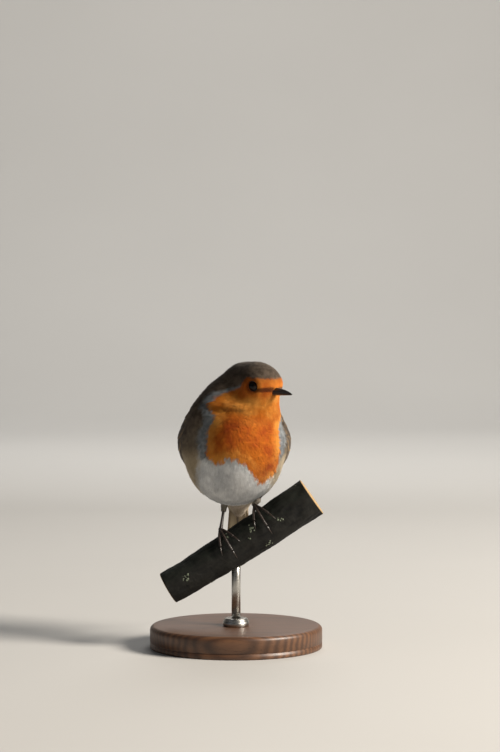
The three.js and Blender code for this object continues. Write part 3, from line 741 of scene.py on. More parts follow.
def ragged(p, amount, size=2.2):
    """A soft wander, so that no edge between colours runs straight."""
    return noise_at(p, size, 5.5, 2) * amount


def markings(p):
    """The share of each colour at each place, over the brown of the upper parts, and of a painted sheen on
    the orange.
    """
    z = p[..., 2]
    even = 1 - 0.65 * eased(z, 129, 136)
    outside = off_bib(p) + (ragged(p, 0.9) + ragged(p, 0.8, 0.8)) * even
    left, back, high = in_trunk(p)
    to_tail = eased(back, 12, 28)
    left, high = left - 2.2 * to_tail, high - 4.2 * to_tail
    belt = np.interp(z, [95, 104, 112, 124, 132, 138, 143], [1.0, 4.0, 6.5, 5.0, 3.2, 1.5, 0.7])
    side = np.degrees(np.arctan2(high, np.hypot(left, 1e-6))) + ragged(p, 5.0)
    front = 1 - eased(z, 122, 130)
    # A painted sheen: the orange turns yellower within a few mm of its edges and high on breast and throat,
    # standing in for highlights.
    painted_sheen = 0.75 * eased(outside, -7, -1) + 0.8 * eased(z, 117, 128)
    grey = (1 - eased(outside, belt * 0.7, belt * 1.35)) * eased(z, 98, 105)
    flank = (1 - eased(side, -14, 6)) * front * (1 - 0.8 * eased(z, 101, 109))
    return {
        "orange": 1 - eased(outside, -0.5, 0.5),
        "painted_sheen": np.clip(painted_sheen * (1 - 0.8 * eased(z, 132, 137)), 0, 1),
        "grey": grey * (1 - eased(z, 139, 143)),
        "white": (1 - eased(side, -50, -36)) * front * (1 - 0.85 * eased(back, 17, 28)),
        "buff": np.maximum(flank, 0.85 * eased(back, 17, 28) * (high < 0)),
    }


def cheek_fold(p):
    """How far places lie in the fold under the turned cheek, and their height above its line."""
    across, front, rise = (p - head_middle).T
    folded = eased(across, -31, -25) * (1 - eased(across, -11, -4)) * eased(-front, -9, -3)
    return folded, rise + 12.8 + 0.06 * (across + 27)


def hump(x, middle, width):
    """1 at its middle, and softly down to 0 on either side."""
    return np.exp(-(((x - middle) / width) ** 2))


outside = ["trunk", "neck", "head", "eye_left", "eye_right"]
plumage_points, skin_squares = remeshed(outside, SKIN_VOXEL, SKIN_GROW)
plumage_points = relaxed(plumage_points, skin_squares, SKIN_SMOOTHING)
plumage_out = normals_of(plumage_points, skin_squares)
# The turned cheek's feathers overhang the breast in a soft fold, on the right of the throat.
folded, above = cheek_fold(plumage_points)
swell = folded * (CHEEK_RISE * hump(above, 1.7, 1.8) - CREASE_DEPTH * hump(above, -1.4, 1.6))
# Brow and cheek rise round each eye, so that it lies in the face and doesn't stand out of it.
for centre in eye_at.values():
    off = plumage_points - centre
    aside = np.linalg.norm(off - np.outer(off @ leftward, leftward), axis=1)
    near = away_from(centre, plumage_points) < BROW_REACH
    swell = swell + BROW_RISE * near * hump(aside, BROW_RADIUS, 1.5)
plumage_points = plumage_points + plumage_out * swell[:, None]
plumage_out = normals_of(plumage_points, skin_squares)
skin_points = plumage_points - plumage_out * (coat_depth(plumage_points) + SKIN_GROW)[:, None]
skin_points = relaxed(skin_points, skin_squares, 4, keep_size=False)
skin_out = normals_of(skin_points, skin_squares)


def fanned(turns, first, second):
    """Directions at some angles, in the plane of two directions and from the first to the second."""
    return np.outer(np.cos(turns), first) + np.outer(np.sin(turns), second)


def on_limb(limb, gone, turns, lift=0.0):
    """Places round a shin, from its hem upwards and then into the belly, and their outward way."""
    hem, upward, inward, across = limb
    middle = hem + upward * min(gone, 2.5) + (inward * 0.8 + upward * 0.2) * max(gone - 2.5, 0)
    out = fanned(turns, np.cross(across, upward), across)
    return middle + out * (0.85 + 1.7 * (max(gone, 0) / 12) ** 0.8 + lift), out


# The shins' upper ends, feathered: a taper from the belly down to the top of each bare shank.
limbs, limb_rings = [], []
for palm, upward, top in legs.values():
    hem = palm + upward * ((top - palm[2]) / upward[2] - 1.6)
    limb = (hem, upward, unit(trunk_middle - hem), unit(np.cross(upward, [0, -1, 0])))
    limbs.append(limb)
    limb_rings.append([on_limb(limb, gone, angles_round(24))[0] for gone in np.linspace(0.0, 12, 16)])

# A lid is a rim of bare skin that rests on the eyeball and slopes down into the face.
LID_WIDE, LID_HIGH = 2.72, 2.42  # half the opening, along the face and up
LID_SECTION = [(-0.06, -0.25), (0, 0.06), (0.12, 0.14), (0.28, 0.03), (0.5, -0.5), (0.7, -1.5), (0.2, -1.5)]
lid_hoops = {}
for side, centre in eye_at.items():
    outward = leftward * (1 if side == "left" else -1)
    centre = centre - outward * EYE_SET_IN
    outward = unit(outward + forward * 0.12)
    along = unit(forward - outward * (forward @ outward))
    rise = np.cross(outward, along) * (1 if np.cross(outward, along)[2] > 0 else -1)
    hoop = []
    for turn in angles_round(64):
        corner = 0.32 * max(math.cos(turn), 0) ** 6 + 0.2 * max(-math.cos(turn), 0) ** 6
        ray = along * math.cos(turn) * LID_WIDE + rise * math.sin(turn) * LID_HIGH
        wide = np.linalg.norm(ray)
        ray /= wide
        wide += corner
        seat = math.sqrt(max((eye_radius + 0.04) ** 2 - wide**2, 0.3))
        hoop.append([centre + ray * (wide + r) + outward * (seat + h) for r, h in LID_SECTION])
    lid_hoops[side] = (np.array(hoop if side == "left" else hoop[::-1]), outward)

parts = [(skin_points, [skin_squares]), *[lofted(rings) for rings in limb_rings]]
lids_from = sum(len(f) for _, faces in parts for f in faces)
parts += [hooped(hoop) for hoop, _ in lid_hoops.values()]
joined_points = np.concatenate([p for p, _ in parts])
starts = np.cumsum([0] + [len(p) for p, _ in parts])
joined_faces = [f + start for start, (_, faces) in zip(starts, parts) for f in faces]


def plumage_colour(tree, place):
    """The colour of the plumage from its markings, uneven as feathers are, with a painted sheen on the
    orange.
    """
    mottle = add(tree, "ShaderNodeTexNoise", {"Vector": place, "Scale": 420.0, "Detail": 3.0})
    broad = add(tree, "ShaderNodeTexNoise", {"Vector": place, "Scale": 110.0, "Detail": 2.0})
    shades = (
        ("brown", mottle, "#463B31", "#64574A"),
        ("buff", broad, "#A39277", "#C2B297"),
        ("white", broad, "#C3C5C6", "#E5E6E5"),
        ("grey", mottle, "#6C7073", "#8C9092"),
        ("orange", broad, "#983F0A", "#B66213"),
        # the painted sheen: a paler, yellower orange laid where highlights would fall
        ("painted_sheen", broad, "#C06C16", "#DD9944"),
    )
    colour = None
    for name, unevenness, dark, pale in shades:
        reach = {"Value": unevenness, "From Min": 0.3, "From Max": 0.7}
        part = add(tree, "ShaderNodeMapRange", reach, interpolation_type="SMOOTHSTEP")
        tint = add(tree, "ShaderNodeMix", {"Factor": part, "A": dark, "B": pale}, data_type="RGBA")
        if colour is None:
            colour = tint
            continue
        share = add(tree, "ShaderNodeAttribute", attribute_name=name).outputs["Fac"]
        if name == "painted_sheen":  # only where there is orange under it
            orange = add(tree, "ShaderNodeAttribute", attribute_name="orange").outputs["Fac"]
            share = add(tree, "ShaderNodeMath", {0: share, 1: orange}, operation="MULTIPLY")
        colour = add(tree, "ShaderNodeMix", {"Factor": share, "A": colour, "B": tint}, data_type="RGBA")
    return colour


# Skin with the feathers' downy bases: the plumage's colours darkened to slate, matt and fluffy.
downy, tree = new_finish("downy_skin")
place = add(tree, "ShaderNodeTexCoord").outputs["Object"]
links = {"Factor": 0.4, "A": plumage_colour(tree, place), "B": "#3A332C"}
shade = add(tree, "ShaderNodeMix", links, data_type="RGBA")
down = add(tree, "ShaderNodeTexNoise", {"Vector": place, "Scale": 1600.0, "Detail": 2.0})
fluff = add(tree, "ShaderNodeBump", {"Height": down, "Strength": 0.6, "Distance": 0.0002})
fluffy = {"Base Color": shade, "Roughness": 0.95, "Specular IOR Level": 0.15, "Normal": fluff}
add(tree, "ShaderNodeOutputMaterial", {"Surface": add(tree, "ShaderNodeBsdfPrincipled", fluffy)})

# The bare lid: thin dark grey skin, a little moist, with fine creases round the opening.
lid_grain = {"Scale": 1800.0, "Detail": 3.0}
moist = {"Roughness": 0.45}
lid_skin = plain_finish("bare_lid", "#120D0A", "#2A1F19", lid_grain, moist, relief=(0.3, 0.0001))

skin_mesh = mesh_of("skin", joined_points, joined_faces)
for finish in (downy, lid_skin):
    skin_mesh.materials.append(finish)
bare = np.zeros(len(skin_mesh.polygons), np.int32)
bare[lids_from:] = 1
skin_mesh.polygons.foreach_set("material_index", bare)
mark(skin_mesh, **markings(joined_points))
made("skin", skin_mesh, downy, "brown_plumage", "trunk", "neck", "head", "thigh_left", "thigh_right")
skin_tree = BVHTree.FromPolygons([Vector(p) for p in skin_points], skin_squares.tolist())

# ------------------------------------------------------------------ plumage
# The small feathers of head and body. Each is a tuft of thin barbs that rise from one root,
# fan out and lie over the next tufts, shortest round the bill and longest on flanks and rump.


def on_skin(points):
    """The nearest places on the skin, and the skin's outward direction there."""
    spots, outs = np.empty_like(points), np.empty_like(points)
    for i, p in enumerate(points):
        spot, _, face, _ = skin_tree.find_nearest(Vector(p))
        spots[i], outs[i] = spot, skin_out[skin_squares[face]].mean(0)
    return spots, unit(outs)


def lie_of(p, out):
    """Which way the feathers lie: back from the bill over the head, then down to the tail."""
    near = (1 - eased(away_from(bill_root, p), 6, 15))[:, None]
    way = near * unit(p - bill_root) + (1 - near) * unit(-0.55 * forward - 0.85 * up)
    low = (1 - eased(p[:, 2], 112, 131))[:, None]
    way = way * (1 - low) + tailward * low
    for centre in eye_at.values():
        r = unit(p - centre)
        close_by = 1 - eased(away_from(centre, p), 3.4, 7.0)
        towards = np.minimum((way * r).sum(1), 0)
        way = way - r * (towards * close_by)[:, None]
    way = way - out * (way * out).sum(1)[:, None]
    return unit(way)


rng = np.random.default_rng(11)
SPACING_LEAST, SPACING_MOST = 0.34, 0.86  # between feathers, mm
LENGTH_LEAST, LENGTH_MOST = 1.15, 5.4  # of feathers, mm; some on belly and rump are longer
LEAST_AWAY = 3.5  # the shortest feathers reach this far from the bill's root
WING_NEAR = 7.0  # a closed wing within this many mm covers what lies under it

# Places strewn evenly over the skin, six to a square, and how far apart feathers are there.
u, v = rng.random((2, len(skin_squares), 6, 1))
a, b, c, d = [skin_points[skin_squares[:, k]][:, None] for k in range(4)]
strewn = ((a * (1 - u) + b * u) * (1 - v) + (d * (1 - u) + c * u) * v).reshape(-1, 3)
away = away_from(bill_root, strewn)
spacing = np.clip(SPACING_LEAST + 0.021 * (away - LEAST_AWAY), SPACING_LEAST, SPACING_MOST)
for centre in eye_at.values():
    from_eye = away_from(centre, strewn)
    spacing = np.minimum(spacing, 0.36 + 0.07 * np.maximum(from_eye - 3.3, 0))
    spacing[from_eye < eye_radius + 0.22] = 0
ahead, left, high = in_head(strewn)
under_bill = (left / 2.3) ** 2 + ((high + 4.3) / 1.6) ** 2 < 1
spacing[(ahead > 8) & under_bill] = 0

# Nothing grows under a closed wing, save near its edges.
WINGS = ("wing_left", "wing_left_primaries", "wing_right", "wing_right_primaries")
wing_cover = tree_of(*WINGS)


def taken(points, spacing, seed):
    """The places that keep their spacing from each other, in a random order."""
    kd = KDTree(len(points))
    for i, p in enumerate(points):
        kd.insert(p, i)
    kd.balance()
    free = spacing > 0
    chosen = []
    for i in np.random.default_rng(seed).permutation(len(points)):
        if not free[i]:
            continue
        chosen.append(i)
        for _, j, _ in kd.find_range(points[i], spacing[i]):
            free[j] = False
    return np.array(chosen)


chosen = taken(strewn, spacing, 5)
roots, spacing = strewn[chosen], spacing[chosen]
roots, outs = on_skin(roots)
ways = lie_of(roots, outs)
sides = np.cross(outs, ways)
hidden, covered = np.zeros((2, len(roots)), bool)
for i, (root, out, way, side) in enumerate(zip(roots, outs, ways, sides)):
    spots = (root, root + way * 3.5, root - way * 1.5, root + side * 2.5, root - side * 2.5)
    over = [wing_cover.ray_cast(Vector(s + out * 0.5), Vector(out), WING_NEAR)[0] for s in spots]
    hidden[i], covered[i] = all(over[1:]), over[0] is not None
hidden |= in_trunk(roots)[1] > 37  # the tail's coverts are laid by rule, further down
roots, outs, ways, spacing, covered = [a[~hidden] for a in (roots, outs, ways, spacing, covered)]

# The centre line of each feather: four places traced along the skin and lifted off it.
count = len(roots)
away = away_from(bill_root, roots)
along_trunk = in_trunk(roots)[1]
length = np.clip(LENGTH_LEAST + 0.165 * (away - LEAST_AWAY), LENGTH_LEAST, LENGTH_MOST)
length += 1.7 * eased(roots[:, 2], 112, 92) + 1.5 * eased(along_trunk, 20, 36)
for centre in eye_at.values():
    from_lid = away_from(centre, roots) - 3.2
    length = np.minimum(length, 0.55 + 0.75 * np.maximum(from_lid, 0))
length *= rng.uniform(0.86, 1.14, count)
LIFT = (0.0, 0.62, 0.9, 1.0)
spots, ups, flows = [roots], [outs], [ways]
for step in range(3):
    reached, out = on_skin(spots[-1] + flows[-1] * (length / 3)[:, None])
    spots.append(reached)
    ups.append(out)
    flows.append(lie_of(reached, out))
stand = rng.uniform(0.93, 1.07, count) * np.where(covered, 0.72, 1)  # pressed flat under a wing
# On the sides of the breast they lie over the front edge of the closed wing.
breast_side = (along_trunk < 3) & (roots[:, 2] < 122) & ~covered
line = []
for k, (spot, out) in enumerate(zip(spots, ups)):
    height = coat_depth(spot) * LIFT[k] * stand
    for i in np.flatnonzero(breast_side & (k > 0)):
        wing_top = reach_of(wing_cover, spot[i], out[i], 9)
        if wing_top is not None:
            height[i] = max(height[i], min(wing_top + 0.25 + 0.1 * k, 2.2 + 0.3 * k))
    line.append(spot + out * height[:, None])
line = np.stack(line, 1)
line_up = np.stack(ups, 1)
line_side = unit(np.cross(line_up, unit(np.gradient(line, axis=1))))
marks = markings(spots[2])
tone = rng.normal(1.0, 0.045, count).clip(0.85, 1.15)

# The dark lores run from the bill to the eye, the fold under the cheek is darkened with painted shade,
# and the orange is a little deeper on the forehead.
ahead, left, high = in_head(spots[1])
lores_half = np.interp(ahead, [5.5, 8.0, 11.0], [1.3, 1.0, 1.1])
lores = (1 - eased(np.abs(high + 3.1), lores_half * 0.6, lores_half * 1.5)) * eased(ahead, 5.0, 6.5)
lores *= eased(np.abs(left), 1.0, 2.2)
folded, above = cheek_fold(spots[2])
# Painted shade: tufts in the crease under the cheek are darkened, as the fold's shadow.
tone *= 1 - 0.5 * folded * hump(above, -0.4, 1.3)
# Where two tracts of the loose belly feathers part, the down between them shows as a dusky line.
parting = hump(noise_at(spots[2] * [1, 1, 0.4], 3.5, 9.1, 1), 0, 0.07)
tone *= 1 - 0.16 * parting * marks["white"]
tone *= (1 - 0.74 * lores) * (1 - 0.2 * eased(high, -1.0, 1.0) * marks["orange"])

# Short feathers clothe the taper of each shin, and end in a hem round the bare leg. Long
# soft coverts lie over the root of the tail, above and below it.
added = {name: [] for name in ("line", "up", "side", "spacing", "shin")}


def add_feathers(line_points, outs, apart, shin):
    """Feathers laid by rule: each has four points and the outward way at each of them."""
    line_points, outs = np.stack(line_points, 1), unit(np.stack(outs, 1))
    sideways = unit(np.cross(outs, unit(np.gradient(line_points, axis=1))))
    same = [np.full(len(line_points), value) for value in (apart, shin)]
    for values, more in zip(added.values(), (line_points, outs, sideways, *same)):
        values.append(more)


SHIN_LIFTS = (0, 0.4, 0.5, 0.3)
for limb in limbs:
    for gone in np.arange(0.2, 8.0, 0.6):
        turns = np.arange(0, 2 * math.pi, 0.6 / (0.85 + 1.7 * (gone / 12) ** 0.8)) + rng.uniform(0, 1)
        step = rng.uniform(0.7, 1.0)
        steps = [on_limb(limb, gone - k * step, turns + 0.1 * k, SHIN_LIFTS[k]) for k in range(4)]
        add_feathers(*zip(*steps), 0.6, True)

TAIL_ASIDE, TAIL_UP = 2.2, 3.6  # of the tail from the trunk's axis
TAIL_COVERT_INSETS = (1.5, 0.55, 0.15, 0.05)
tail_outside = tree_of("trunk", "tail")


def on_tail_root(along, turns, inset):
    """Places round the root of the tail, set in from the outline, and their outward way."""
    axis = trunk_middle + tailward * along
    axis = axis + (TAIL_ASIDE * np.array([1, 0, 0]) + TAIL_UP * dorsal) * eased(along, 12, 28)
    out = fanned(turns, [1, 0, 0], dorsal)
    reach = [reach_of(tail_outside, axis, ray, 30, 2.0) for ray in out]
    return axis + out * (np.array(reach) - inset)[:, None], out


for along in np.arange(26, 43, 1.3):
    turns = np.arange(0, 2 * math.pi, 1.0 / np.interp(along, [26, 43], [11, 5])) + rng.uniform(0, 1)
    step = rng.uniform(3.2, 4.0)
    steps = [on_tail_root(along + k * step, turns, TAIL_COVERT_INSETS[k]) for k in range(4)]
    add_feathers(*zip(*steps), 0.85, False)

extra = {name: np.concatenate(parts) for name, parts in added.items()}
own_marks = markings(extra["line"][:, 2])
shin_marks = {"buff": 0.85, "white": 0.3}
marks = {
    name: np.concatenate([value, np.where(extra["shin"], shin_marks.get(name, 0.0), own_marks[name])])
    for name, value in marks.items()
}
more = len(extra["shin"])
pairs = (
    (roots, extra["line"][:, 0]),
    (line, extra["line"]),
    (line_up, extra["up"]),
    (line_side, extra["side"]),
    (spacing, extra["spacing"]),
    (tone, rng.normal(0.98, 0.04, more) - 0.3 * extra["shin"]),
    (away, np.full(more, 30.0)),
    (np.zeros(count, bool), np.ones(more, bool)),
    (np.zeros(count, bool), extra["shin"]),
)
roots, line, line_up, line_side, spacing, tone, away, by_rule, on_shin = map(np.concatenate, pairs)
along_trunk = in_trunk(roots)[1]
count = len(roots)

# Barbs of each feather, and their cross sections: share of the way, spread and girth.
SHORT_BARBS = (9, ((0.42, 0.65, 1.0),))
LONG_BARBS = (11, ((0.36, 0.55, 1.0), (0.74, 0.85, 0.8)))


def along_line(values, share):
    """Values at a share of the way along each feather's centre line."""
    place = share * 3
    low = np.clip(place.astype(int), 0, 2)
    part = (place - low)[..., None]
    rows = np.arange(len(values))[:, None]
    return values[rows, low] * (1 - part) + values[rows, low + 1] * part


def barbs(pick, each, sections):
    """Points, triangles and values of the barbs of some feathers."""
    n, slots = len(pick), 2 + 3 * len(sections)
    fan = np.linspace(-1, 1, each)[None] + rng.uniform(-0.5, 0.5, (n, each)) / each
    reach = (1 - 0.24 * fan**2) * rng.uniform(0.84, 1.0, (n, each))
    half = (spacing[pick] * 1.15 + 0.05)[:, None]
    width = (0.13 + 0.09 * eased(away[pick], 4, 26))[:, None] * rng.uniform(0.8, 1.2, (n, each))
    lift = rng.normal(0, 0.07, (n, each)) * coat_depth(roots[pick])[:, None]
    points = np.empty((n, each, slots, 3))
    gone = np.empty((n, each, slots))
    for index, (share, spread, girth) in enumerate(((0.0, 0.25, 0.0), *sections, (1.0, 1.0, 0.0))):
        at = reach * share
        out, side = along_line(line_up[pick], at), along_line(line_side[pick], at)
        centre = along_line(line[pick], at)
        centre = centre + side * (fan * half * spread)[..., None] + out * (lift * share)[..., None]
        first = max(0, 3 * index - 2)
        if girth == 0:
            points[:, :, first], gone[:, :, first] = centre, at
            continue
        for corner, (aside, rise) in enumerate(((0.5, 0.0), (0.0, 0.3), (-0.5, 0.0))):
            off = side * (width * girth * aside)[..., None] + out * (width * girth * rise)[..., None]
            points[:, :, first + corner], gone[:, :, first + corner] = centre + off, at
    face = [[0, 2, 1], [0, 3, 2], [0, 1, 3]]
    for b in range(1, slots - 4, 3):
        for i, j in ((0, 1), (1, 2), (2, 0)):
            face += [[b + i, b + j, b + j + 3], [b + i, b + j + 3, b + i + 3]]
    tip = slots - 1
    face += [[tip - 3, tip - 2, tip], [tip - 2, tip - 1, tip], [tip - 1, tip - 3, tip]]
    faces = (np.arange(n * each)[:, None, None] * slots + face).reshape(-1, 3)
    out = np.repeat(line_up[pick][:, None, 2], each, 1)[:, :, None]
    soft = unit(out + unit(points - points.mean(2, keepdims=True)) * 0.35)
    across = np.broadcast_to(((fan + 1.3) / 2.6)[..., None], gone.shape)
    own_tone = tone[pick][:, None] * rng.normal(1.0, 0.05, (n, each)).clip(0.85, 1.15)
    own_tone = np.repeat(own_tone.ravel(), slots)
    return points.reshape(-1, 3), faces, gone.ravel(), across.ravel(), own_tone, soft.reshape(-1, 3)


def lay_bake_map(mesh, places):
    """The map on which the piece's colours are baked, with a place for each corner of a face."""
    layer = mesh.uv_layers.new(name="OFBake")
    layer.data.foreach_set("uv", places.astype(np.float32).ravel())


# Small feathers: soft and matt with a faint sheen, slate at the root and coloured at the tip.
plumage, tree = new_finish("body_plumage")
place = add(tree, "ShaderNodeTexCoord").outputs["Object"]
along_at, tone_at = (
    add(tree, "ShaderNodeAttribute", attribute_name=name).outputs["Fac"] for name in ("along", "tone")
)
reach = {"Value": along_at, "From Min": 0.03, "From Max": 0.45, "To Min": 0.5, "To Max": 0.0}
slate = add(tree, "ShaderNodeMapRange", reach, interpolation_type="SMOOTHSTEP")
links = {"Factor": slate, "A": plumage_colour(tree, place), "B": "#2E2A26"}
shade = add(tree, "ShaderNodeMix", links, data_type="RGBA")
toned = add(tree, "ShaderNodeCombineColor", {"Red": tone_at, "Green": tone_at, "Blue": tone_at})
links = {"Factor": 1.0, "A": shade, "B": toned}
shade = add(tree, "ShaderNodeMix", links, data_type="RGBA", blend_type="MULTIPLY")
silky = {"Roughness": 0.8, "Specular IOR Level": 0.16, "Sheen Weight": 0.06, "Sheen Roughness": 0.5}
shader = add(tree, "ShaderNodeBsdfPrincipled", {"Base Color": shade, **silky})
add(tree, "ShaderNodeOutputMaterial", {"Surface": shader})

ahead, left, high = in_head(roots)
side_at = np.degrees(np.arctan2(in_trunk(roots)[2], np.abs(in_trunk(roots)[0])))
turn_at = bearing(roots)
HEAD_FROM, THROAT_FROM, BREAST_FROM = 131, 117, 97  # heights at which the areas part
on_head = roots[:, 2] > HEAD_FROM + (ahead < -6)
areas = {  # each takes what those before it have left
    "thighs": on_shin,
    "tail_coverts": by_rule,
    "crown": on_head & (high > 2.5),
    "face_left": on_head & (left > 0) & (ahead > -3),
    "face_right": on_head & (left <= 0) & (ahead > -3),
    "nape": on_head,
    "throat": (roots[:, 2] > THROAT_FROM) & (np.abs(turn_at) < 100),
    "mantle": (roots[:, 2] > THROAT_FROM) | ((side_at > -5) & (along_trunk < 8)),
    "breast_left": (roots[:, 2] > BREAST_FROM) & (turn_at >= 20),
    "breast_right": (roots[:, 2] > BREAST_FROM) & (turn_at < 20),
    "rump": (side_at > -10) | (along_trunk > 22),
    "belly_left": turn_at >= 5,
    "belly_right": turn_at < 5,
}
free = np.ones(count, bool)
for area, inside in areas.items():
    pick = np.flatnonzero(inside & free)
    free[pick] = False
    short = area in ("crown", "face_left", "face_right", "nape", "thighs")
    points, faces, gone, across, own_tone, soft = barbs(pick, *(SHORT_BARBS if short else LONG_BARBS))
    mesh = mesh_of(f"plumage_{area}", points, [faces])
    per_feather = len(points) // len(pick)
    own_marks = {name: np.repeat(value[pick], per_feather) for name, value in marks.items()}
    shown = 0.25 + 0.75 * gone if short else gone  # the short ones hardly show their slate roots
    mark(mesh, along=shown, tone=own_tone, **own_marks)
    mesh.normals_split_custom_set_from_vertices(soft)
    if on_head[pick].mean() > 0.5:
        ahead, left, high = in_head(roots[pick])
        wrap = (np.arctan2(left, ahead) / (2 * math.pi), np.arctan2(high, np.hypot(ahead, left)) / math.pi)
    else:
        left, back, high = in_trunk(roots[pick])
        wrap = (np.arctan2(left, -high) / (2 * math.pi), back / 100)
    wrap = np.stack(wrap, 1)
    span = np.maximum(wrap.max(0) - wrap.min(0), 1e-6)
    wrap = 0.01 + 0.975 * (wrap - wrap.min(0)) / span
    patch = np.repeat(wrap, per_feather, 0) + 0.003 * np.stack([across, gone], 1)
    lay_bake_map(mesh, patch[faces.ravel()])
    orange = marks["orange"][pick].mean() > 0.5
    made(f"plumage_{area}", mesh, plumage, "orange_plumage" if orange else "brown_plumage")

# ------------------------------------------------------------------ wings
# The closed wings: stiff flight feathers stacked like a fan, tertials on top, and rows of
# coverts over their roots like tiles. Each feather is a thin vane with a raised shaft.

ALONG_STEP, DEGREE_STEP = 1.5, 3.0
ALONG = np.arange(-33.0, 50.0, ALONG_STEP)  # along the trunk's axis, mm
DEGREES = np.arange(-44.0, 92.0, DEGREE_STEP)  # round it, from straight out to straight up the back
LEAST_REACH = 9.0
ACROSS = np.array([-1.0, -0.55, -0.12, 0.0, 0.12, 0.55, 1.0])  # a vane's cross section
VANE_THICK, VANE_STEPS = 0.16, 13
SHEAF_TOP, SHEAF_FOOT = -1.25, -1.85  # the mass of feather bases, from the wing's outside
SHEAF_LAYERS, SHEAF_SIDES = 64, 15
DEGREE_MM = 22 * math.pi / 180  # a degree round the wing, where it lies 22 mm off the axis
envelope = tree_of("trunk", "neck", *WINGS)


def envelope_reach(side):
    """How far the closed wing's outside lies from the trunk's axis, along and round it."""
    table = np.empty((len(ALONG), len(DEGREES)))
    for i, a in enumerate(ALONG):
        for j, d in enumerate(np.radians(DEGREES)):
            axis = trunk_middle + tailward * a
            ray = np.array([side * math.cos(d), 0, 0]) + dorsal * math.sin(d)
            table[i, j] = max(reach_of(envelope, axis, ray, 60, 0), LEAST_REACH)
    rows, columns = table.shape
    for turn in range(2):  # smoothed, since feathers bridge small hollows
        padded = np.pad(table, 1, mode="edge")
        table = sum(padded[i : i + rows, j : j + columns] for i in range(3) for j in range(3)) / 9
    return table


def looked_up(table, along, degrees):
    """The reach at some places, between the table's own places."""
    i = np.clip((along - ALONG[0]) / ALONG_STEP, 0, len(ALONG) - 1.001)
    j = np.clip((degrees - DEGREES[0]) / DEGREE_STEP, 0, len(DEGREES) - 1.001)
    a, b = i.astype(int), j.astype(int)
    u, v = i - a, j - b
    lower = table[a, b] * (1 - u) + table[a + 1, b] * u
    return lower * (1 - v) + (table[a, b + 1] * (1 - u) + table[a + 1, b + 1] * u) * v


def half_width(share, blunt):
    """The half width of a feather along it, as a share of the widest, round at its tip."""
    swell = 0.45 + 0.55 * np.clip(share / 0.35, 0, 1) ** 0.7
    tip = np.clip((share - (1 - blunt)) / blunt, 0, 1)
    return swell * np.sqrt(np.maximum(1 - tip**2.4, 0.0))


def vane(place, width, blunt, cup):
    """Points and faces of one feather. place(s, x) gives a point and its outward direction."""
    shares = 1 - np.linspace(1, 0, VANE_STEPS) ** 1.5
    shares[-1] = 0.997  # the last ring is nearly a point, and a hub closes it
    rings = []
    for s in shares:
        w = width * half_width(s, blunt)
        top, out = place(np.full(len(ACROSS), s), ACROSS * w)
        shaft = np.where(ACROSS == 0, 0.1 * (1 - 0.7 * s), 0.0) - cup * w * ACROSS**2
        thick = VANE_THICK * (1 - 0.5 * np.abs(ACROSS)) * (1 - 0.4 * s)
        upper = top + out * shaft[:, None]
        lower = top + out * (shaft - thick)[:, None]
        rings.append(np.concatenate([upper, lower[::-1]]))
    points, faces = lofted(rings)
    gone = np.concatenate([np.repeat(shares, 2 * len(ACROSS)), [0.0, 1.0]])
    across = np.concatenate([np.tile([*ACROSS, *ACROSS[::-1]], VANE_STEPS), [0.0, 0.0]])
    under = np.concatenate([0 * ACROSS, np.abs(ACROSS) < 1])
    beneath = np.concatenate([np.tile(under, VANE_STEPS - 1), 0 * under, [1.0, 0.0]])
    return points, faces, gone, across, beneath


class Sheaf:
    """Feathers gathered into one piece, each with its own cell of the bake map."""

    def __init__(self):
        self.points, self.faces, self.values, self.start = [], [], [], 0

    def put(self, made_vane, **values):
        """One more feather, and what its material reads."""
        points, faces, gone, across, beneath = made_vane
        self.points.append(points)
        self.faces += [f + self.start for f in faces]
        self.start += len(points)
        values = {name: np.full(len(points), value) for name, value in values.items()}
        self.values.append({"along": gone, "across": across, "beneath": beneath, **values})

    def mesh(self, name):
        """All the feathers as one mesh."""
        squares = np.concatenate([f for f in self.faces if f.shape[1] == 4])
        threes = np.concatenate([f for f in self.faces if f.shape[1] == 3])
        mesh = mesh_of(name, np.concatenate(self.points), [squares, threes])
        mark(mesh, **{k: np.concatenate([v[k] for v in self.values]) for k in self.values[0]})
        across = math.ceil(math.sqrt(len(self.points)))
        cells = []
        for i, v in enumerate(self.values):
            lane = np.stack([0.06 + 0.88 * (v["across"] + 1) / 2, 0.04 + 0.92 * v["along"]], 1)
            cells.append((lane + [i % across, i // across]) / across)
        cells = np.concatenate(cells)
        lay_bake_map(mesh, cells[np.concatenate([squares.ravel(), threes.ravel()])])
        return mesh


# Flight feathers and coverts: dark brown with paler olive edges and a low silky gloss. Their
# barbs slant off the shaft, a little coarser than a real robin's so that they can be seen.
BARB_PITCH = 0.42  # mm along the shaft
vanes, tree = new_finish("wing_vane")
along_at, across_at, tone_at, pale_at, spot_at, length_at, beneath_at = (
    add(tree, "ShaderNodeAttribute", attribute_name=name).outputs["Fac"]
    for name in ("along", "across", "tone", "pale", "spot", "length", "beneath")
)
place = add(tree, "ShaderNodeTexCoord").outputs["Object"]
mottle = add(tree, "ShaderNodeTexNoise", {"Vector": place, "Scale": 260.0, "Detail": 3.0})
outer = add(tree, "ShaderNodeMath", {0: across_at}, operation="ABSOLUTE")
run = add(tree, "ShaderNodeMath", {0: along_at, 1: length_at}, operation="MULTIPLY")
slant = add(tree, "ShaderNodeMath", {0: outer, 1: -2.4, 2: run}, operation="MULTIPLY_ADD")
barb = add(tree, "ShaderNodeMath", {0: slant, 1: 2 * math.pi / BARB_PITCH}, operation="MULTIPLY")
barb = add(tree, "ShaderNodeMath", {0: barb}, operation="SINE")
seen = add(tree, "ShaderNodeMath", {0: beneath_at, 1: -0.8, 2: 1.0}, operation="MULTIPLY_ADD")
barb = add(tree, "ShaderNodeMath", {0: barb, 1: seen}, operation="MULTIPLY")
